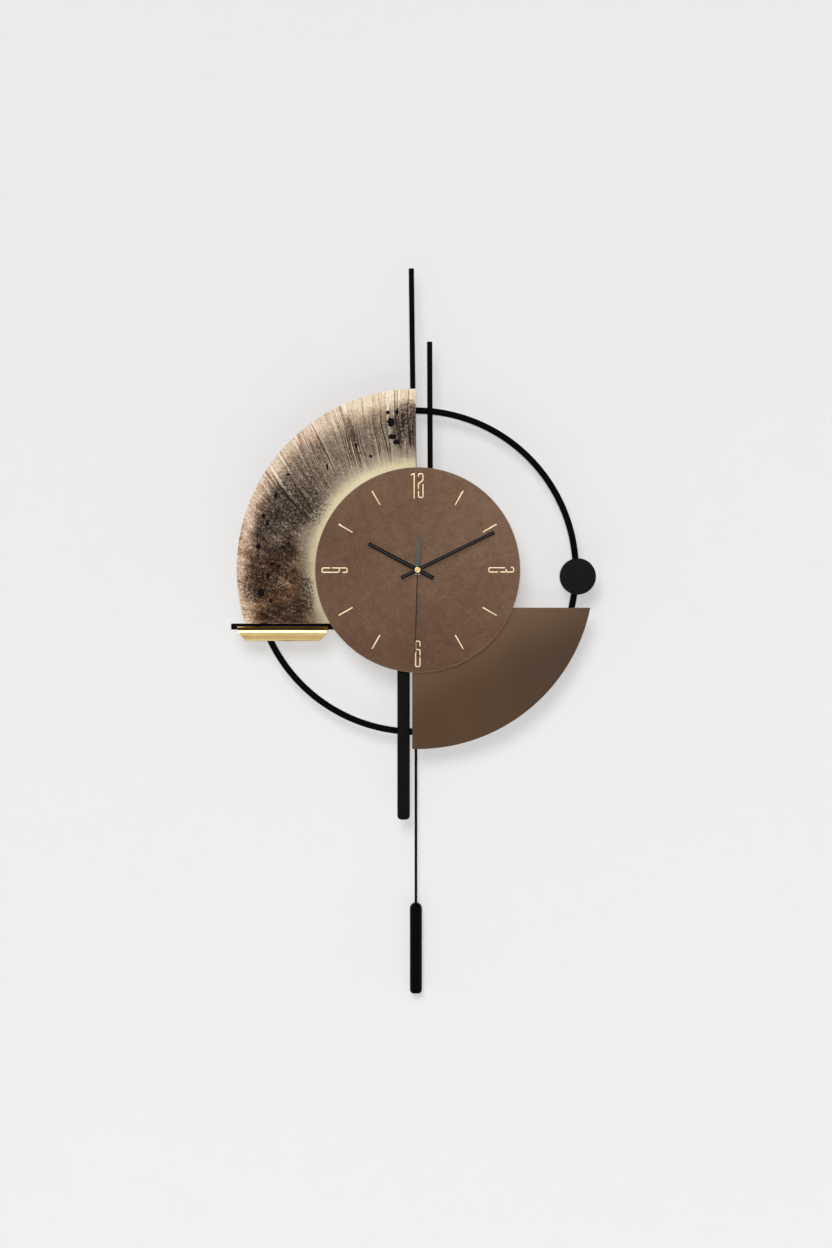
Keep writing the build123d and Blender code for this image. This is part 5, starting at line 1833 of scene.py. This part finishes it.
@dataclass
class Pendulum:
    """Rod with its wire eye, and the slim bob."""

    wire: float = 0.8 * MM
    rod_radius: float = 1.6 * MM
    rod_tip: float = 0.3 * MM
    dome: float = 7.2 * MM
    foot: float = 4.5 * MM

    def rod(self) -> None:
        """Straight rod into the bob, and the eye on the hook pin."""
        box = Box.of("pendulum_rod")
        x, y = box.middle[:2]
        eye = box.size[0] / 2 - self.wire
        ring_z = box.high[2] - self.wire - eye
        shape = Shape().add(torus_grid(np.array([x, y, ring_z]), eye, self.wire, 64, 16), caps=False)
        shape.add(rod_grid((x, y, box.low[2]), (x, y, ring_z - eye), self.rod_radius, self.rod_tip))
        stand_in(shape, "pendulum_rod", "wire", "black_frame", Shop.POWDER, body="pendulum")

    def bob(self) -> None:
        """Slim cylinder: a domed top, straight sides and a rounded foot, turned about its own line."""
        box = Box.of("pendulum_bob")
        radius = box.size[0] / 2
        t = np.linspace(0.0, np.pi / 2, 12)
        foot, dome = self.foot, self.dome
        low = np.stack([radius - foot + foot * np.sin(t), box.low[2] + foot * (1 - np.cos(t))], axis=1)
        high = np.stack([radius - dome + dome * np.cos(t), box.high[2] - dome * (1 - np.sin(t))], axis=1)
        profile = np.concatenate([[[0.0, box.low[2]]], low, high, [[0.0, box.high[2]]]])
        turn = circle(64)
        x = box.middle[0] + profile[:, :1] * np.cos(turn)
        y = box.middle[1] + profile[:, :1] * np.sin(turn)
        grid = face(x, np.repeat(profile[:, 1:], 64, axis=1), y)
        shape = Shape().add(grid, caps=False)
        stand_in(shape, "pendulum_bob", "turned", "bob_black", Shop.BOB, body="pendulum")

    def make(self) -> None:
        """Builds the rod and the bob."""
        self.rod()
        self.bob()


@dataclass
class Fixings:
    """Screws, rivets, spacers, posts and rubber feet behind the panels.

    Places are in millimetres from the hand axis. A profile is (radius, y) in millimetres, y from
    the wall plane. A screw is its head radius, head height and shank radius in millimetres.
    """

    ring_centre: tuple[float, float] = (-3.0, -1.4)
    ring_radius: float = 199.3
    screw_offset: float = 8.7
    screw_angles: tuple[float, ...] = (100.0, 140.0, 185.0, -20.0, -45.0, -75.0)
    post_angles: tuple[float, ...] = (-37.0, 200.5)
    dial_screws: tuple[tuple[float, float], ...] = (
        (-62.0, 58.0), (62.0, 58.0), (-62.0, -48.0), (62.0, -48.0)
    )
    rivets: tuple[tuple[float, float], ...] = ((-46.0, 66.0), (-46.0, 78.0), (46.0, 66.0), (46.0, 78.0))
    panel_screw: tuple[float, float, float] = (2.8, 1.8, 1.5)
    dial_screw: tuple[float, float, float] = (3.5, 2.4, 2.0)
    rivet_head: tuple[float, float, float] = (2.8, -31.0, 0.9)
    rivet_shank: tuple[tuple[float, float], ...] = ((1.5, -31.0), (1.5, -35.3), (1.3, -35.5), (0.0, -35.5))
    spacer: tuple[tuple[float, float], ...] = (
        (2.0, -35.5), (4.8, -35.5), (5.0, -35.7), (5.0, -36.3), (4.8, -36.5), (2.0, -36.5), (2.0, -35.5),
    )
    post: tuple[tuple[float, float], ...] = (
        (0.0, -2.0), (3.7, -2.0), (4.0, -2.3), (4.0, -5.0), (3.7, -5.3), (3.7, -6.2), (4.0, -6.5),
        (4.0, -20.0), (3.0, -21.5), (0.0, -21.5),
    )
    foot: tuple[tuple[float, float], ...] = (
        (0.0, -0.25), (2.0, -0.25), (2.3, 0.0), (4.4, 0.0), (4.85, -0.2), (5.0, -0.6), (5.0, -1.7),
        (4.7, -2.0), (0.0, -2.0),
    )

    def on_ring(self, angles: Sequence[float], offset: float) -> list[np.ndarray]:
        """Places on a circle about the ring's centre.

        Args:
            angles: degrees, counter-clockwise from the right.
            offset: how far outside the ring's line.

        Returns:
            x and z of each place, in metres.
        """
        turn = np.radians(angles)
        radius = self.ring_radius + offset
        way = np.stack([np.cos(turn), np.sin(turn)], axis=1)
        return list((way * radius + self.ring_centre) * MM + AXIS)

    def from_axis(self, places: Sequence[tuple[float, float]]) -> list[np.ndarray]:
        """Turns places in millimetres from the hand axis into metres."""
        return list(np.array(places) * MM + AXIS)

    def screws(
        self, node: str, centres: list[np.ndarray], radius: float, height: float, shank: float
    ) -> None:
        """Adds cross-recess screws in place of a node's plain ones.

        Args:
            node: the CAD node.
            centres: x and z of each screw.
            radius: head radius in millimetres.
            height: head height in millimetres.
            shank: shank radius in millimetres.
        """
        box = Box.of(node)
        shape = Shape()
        for centre in centres:
            grid = cross_head(centre, radius * MM, height * MM, shank * MM, box.high[1], box.low[1])
            shape.add(grid, caps=False)
        stand_in(shape, node, "driven", "zinc", Shop.ZINC)

    def rounded(
        self, node: str, slot: str, finish: Finish, centres: list[np.ndarray], profile: np.ndarray
    ) -> None:
        """Adds one turned part at every centre in place of a node.

        Args:
            node: the CAD node.
            slot: its material slot.
            finish: its finish.
            centres: x and z of each part.
            profile: radii and y positions in millimetres, y from the wall.
        """
        shape = Shape()
        for centre in centres:
            shape.add(turned(profile * MM, centre, 48), caps=False)
        stand_in(shape, node, "turned", slot, finish)

    def make(self) -> None:
        """Builds every fixing."""
        self.screws("panel_screws", self.on_ring(self.screw_angles, self.screw_offset), *self.panel_screw)
        self.screws("dial_screws", self.from_axis(self.dial_screws), *self.dial_screw)
        t = np.linspace(0.0, np.pi / 2, 9)
        radius, back, crown = self.rivet_head
        dome = np.stack([radius * np.sin(t), back + crown * np.cos(t)], axis=1)
        rivet = np.concatenate([dome, self.rivet_shank])
        self.rounded("hanger_rivets", "zinc", Shop.ZINC, self.from_axis(self.rivets), rivet)
        spacers = self.from_axis(self.dial_screws)
        self.rounded("dial_spacers", "black_rubber", Shop.RUBBER, spacers, np.array(self.spacer))
        posts = self.on_ring(self.post_angles, 0.0)
        self.rounded("standoff_posts", "black_frame", Shop.POWDER, posts, np.array(self.post))
        self.rounded("rubber_feet", "black_rubber", Shop.RUBBER, posts, np.array(self.foot))


@dataclass
class Power:
    """Round cell with its printed sleeve, the nub contact and the coned spring contact.

    The cell's sections are (x, radius) in millimetres: the base from its left end, the gilt band
    and the crown from its right end. The curl is the sleeve's first lip.
    """

    base: tuple[tuple[float, float], ...] = (
        (0.2, 0.0), (0.2, 4.6), (0.0, 5.0), (0.0, 6.2), (0.4, 6.8), (0.4, 7.05),
    )
    curl: float = 0.1
    upper: tuple[tuple[float, float], ...] = ((-12.1, 7.15), (-1.5, 7.15), (-1.2, 6.95), (-1.2, 6.2))
    crown: tuple[tuple[float, float], ...] = (
        (-1.2, 6.2), (-1.4, 4.0), (-1.3, 2.7), (-0.4, 2.7), (-0.1, 2.5), (0.0, 2.0), (0.0, 0.0),
    )
    leaf: float = 0.5 * MM
    leaf_edge: float = 0.12 * MM
    dimple: tuple[float, float] = (0.8 * MM, 2.4 * MM)
    spring_run: tuple[float, float] = (0.25 * MM, 0.85 * MM)
    spring_radii: tuple[float, float] = (3.3 * MM, 2.0 * MM)
    spring_turns: float = 2.5
    spring_wire: float = 0.24 * MM

    def cell(self) -> None:
        """Turned cell: pressed base, sleeve in two colours, shoulder and nub."""
        box = Box.of("battery")
        left, right = np.array([box.low[0], 0.0]), np.array([box.high[0], 0.0])
        base, upper, crown = (np.array(part) * MM for part in (self.base, self.upper, self.crown))
        base, upper, crown = left + base, right + upper, right + crown
        lower = np.stack([base[-1], base[-1] + self.curl * MM, upper[0]])
        shape = Shape()
        for tone, profile in ((0, base), (1, lower), (2, upper), (0, crown)):
            shape.add(turned_across(profile, box.middle), caps=False, tone=tone)
        tones = Shop.NICKEL, Shop.LABEL, Shop.CAP_GILT
        stand_in(shape, "battery", "cell", "battery_label", *tones, body="cell")

    def contacts(self) -> None:
        """Two leaves, one with a pressed dimple and one with a coned spring."""
        box = Box.of("battery_contacts")
        low, high = box.low, box.high
        shape = Shape()
        for left in (low[0], high[0] - self.leaf):
            right = left + self.leaf
            outline = np.array([[left, low[2]], [right, low[2]], [right, high[2]], [left, high[2]]])
            shape.add(slab(outline, high[1], low[1], self.leaf_edge, 3))
        middle = Box.of("battery").middle
        inner = high[0] - self.leaf
        t = np.linspace(0.0, np.pi / 2, 8)
        dimple = np.stack([inner - self.dimple[0] * np.cos(t), self.dimple[1] * np.sin(t)], axis=1)
        shape.add(turned_across(dimple, middle), caps=False)
        start, end = (low[0] + self.leaf + reach for reach in self.spring_run)
        shape.add(coil_grid((start, end), self.spring_radii, self.spring_turns, self.spring_wire, middle))
        stand_in(shape, "battery_contacts", "sprung", "nickel", Shop.NICKEL)

    def make(self) -> None:
        """Builds the cell and its contacts."""
        self.cell()
        self.contacts()


# ---------------------------------------------------------------- the room


@dataclass
class Studio:
    """Pale wall and floor in one sweep, soft light from the upper left and the camera.

    A sun is its name, the way it shines, its strength, its spread in degrees and whether glossy
    surfaces show it.
    """

    camera_distance: float = 9.0
    lens: float = 208.7
    camera_point: tuple[float, float] = (-0.002, -0.135)
    suns: tuple[tuple[str, tuple[float, float, float], float, float, bool], ...] = (
        ("key_light", (0.2, 1.0, -0.54), 0.95, 29.0, True),
        ("front_fill", (0.0, 1.0, 0.0), 1.68, 5.0, False),
        ("rear_fill", (-0.25, -1.0, -0.45), 1.6, 40.0, True),
        ("left_fill", (1.0, -0.2, -0.15), 0.8, 50.0, False),
        ("right_fill", (-1.0, -0.2, -0.15), 0.8, 50.0, False),
    )
    sweep: tuple[float, float, float] = (0.6, -2.6, 6.0)
    ceiling: float = 4.0
    ambient: float = 0.14
    mirror: float = 1.25
    room_bands: tuple[tuple[float, int], ...] = (
        (0.0, 150), (0.12, 255), (0.38, 250), (0.43, 110), (0.49, 40), (0.53, 255), (0.66, 255), (0.75, 60),
        (1.0, 40),
    )
    wall: Colour = rgb(232, 232, 232)

    def backdrop(self) -> None:
        """Wall that bends into a floor: straight down, a quarter circle, then straight out."""
        bend = np.linspace(0.0, np.pi / 2, 17)
        radius, floor, reach = self.sweep
        y = np.concatenate([[0.0], -radius * (1 - np.cos(bend)), [-reach]])
        z = np.concatenate([[self.ceiling], floor + radius * (1 - np.sin(bend)), [floor]])
        x = np.linspace(-reach, reach, 3)
        grid = np.stack(np.broadcast_arrays(x[None, :], y[:, None], z[:, None]), axis=-1)
        mesh = bpy.data.meshes.new("studio_sweep")
        mesh.from_pydata(grid.reshape(-1, 3).tolist(), [], quads(len(y), 3, False)[:, ::-1].tolist())
        mesh.shade_smooth()
        sweep = bpy.data.objects.new("studio_sweep", mesh)
        bpy.context.scene.collection.objects.link(sweep)
        sweep.data.materials.append(self.plaster())

    def plaster(self) -> bpy.types.Material:
        """Matt white paint on the room side; from behind the wall can be seen through."""
        made = bpy.data.materials.new("studio_plaster")
        made.use_nodes = True
        made.node_tree.nodes.clear()
        graph = Graph(made.node_tree)
        shade = graph.group(
            Effect.grain(), {"Vector": graph.place(), "Scale": 2.0, "Low": 0.992, "High": 1.0}
        ).outputs[0]
        paint_shader = graph.add("BsdfDiffuse", {"Color": graph.mix(1.0, self.wall, shade, "MULTIPLY")})
        clear = graph.add("BsdfTransparent")
        behind = graph.add("NewGeometry").outputs["Backfacing"]
        shadow = graph.add("LightPath").outputs["Is Shadow Ray"]
        see_through = graph.math("MAXIMUM", behind, shadow)
        both = graph.add("MixShader", {0: see_through, 1: paint_shader.outputs[0], 2: clear.outputs[0]})
        output = graph.add("OutputMaterial")
        made.node_tree.links.new(both.outputs[0], output.inputs["Surface"])
        return made

    def world(self) -> None:
        """Even pale light; glossy surfaces see bands of light and dark, from the floor to the ceiling."""
        world = bpy.data.worlds.new("studio_light")
        bpy.context.scene.world = world
        world.use_nodes = True
        world.node_tree.nodes.clear()
        graph = Graph(world.node_tree)
        way = graph.add("TexCoord").outputs["Generated"]
        split = graph.add("SeparateXYZ", {0: way})
        height = graph.add("MapRange", {"Value": split.outputs["Z"], "From Min": -1.0}).outputs[0]
        room = graph.ramp(height, [(at, rgb(level, level, level)) for at, level in self.room_bands])
        beside = graph.step(graph.math("ABSOLUTE", split.outputs["X"]), 0.45, 0.85)
        room = graph.mix(beside, room, rgb(210, 210, 210))
        light = graph.add("Background", {"Color": rgb(236, 236, 236), "Strength": self.ambient})
        mirror = graph.add("Background", {"Color": room, "Strength": self.mirror})
        rays = graph.add("LightPath")
        lit = graph.add(
            "MixShader", {0: rays.outputs["Is Glossy Ray"], 1: light.outputs[0], 2: mirror.outputs[0]}
        )
        seen = graph.add("Background", {"Color": rgb(237, 237, 237), "Strength": 1.0})
        both = graph.add(
            "MixShader", {0: rays.outputs["Is Camera Ray"], 1: lit.outputs[0], 2: seen.outputs[0]}
        )
        output = graph.add("OutputWorld")
        world.node_tree.links.new(both.outputs[0], output.inputs["Surface"])

    def sun(
        self, name: str, towards: Sequence[float], strength: float, spread: float, mirrored: bool
    ) -> None:
        """Adds a broad distant light.

        Args:
            name: name of the light.
            towards: direction in which it shines.
            strength: its strength.
            spread: apparent width in degrees.
            mirrored: whether glossy surfaces show it.
        """
        data = bpy.data.lights.new(name, "SUN")
        data.energy = strength
        data.angle = math.radians(spread)
        lamp = bpy.data.objects.new(name, data)
        lamp.rotation_euler = Vector(towards).to_track_quat("-Z", "Y").to_euler()
        lamp.visible_glossy = mirrored
        bpy.context.scene.collection.objects.link(lamp)

    def camera(self) -> None:
        """Long lens, square on to the clock."""
        data = bpy.data.cameras.new("front_camera")
        data.lens = self.lens
        data.sensor_width = 36.0
        camera = bpy.data.objects.new("front_camera", data)
        camera.location = (self.camera_point[0], -self.camera_distance, self.camera_point[1])
        camera.rotation_euler = (math.pi / 2, 0.0, 0.0)
        bpy.context.scene.collection.objects.link(camera)
        bpy.context.scene.camera = camera

    def make(self) -> None:
        """Sets up the room."""
        bpy.context.scene.view_settings.view_transform = "Standard"
        self.backdrop()
        self.world()
        for name, towards, strength, spread, mirrored in self.suns:
            self.sun(name, towards, strength, spread, mirrored)
        self.camera()


def dress_carried_nodes() -> None:
    """Gives every CAD node the finish of its material slot."""
    slots = node_slots()
    for node in frame["nodes"]:
        paint_node(node, SLOT_FINISH[slots[node]])


def main() -> None:
    """Builds the room, then the clock from the frame outwards."""
    logging.basicConfig(level=logging.INFO, format="%(message)s")
    Studio().make()
    dress_carried_nodes()
    for assembly in (RodFrame(), SectorPanels(), Trough(), Dial(), Hands(), Pendulum(), Fixings(), Power()):
        assembly.make()
        LOG.info("%s done", type(assembly).__name__)


if __name__ == "__main__":
    main()
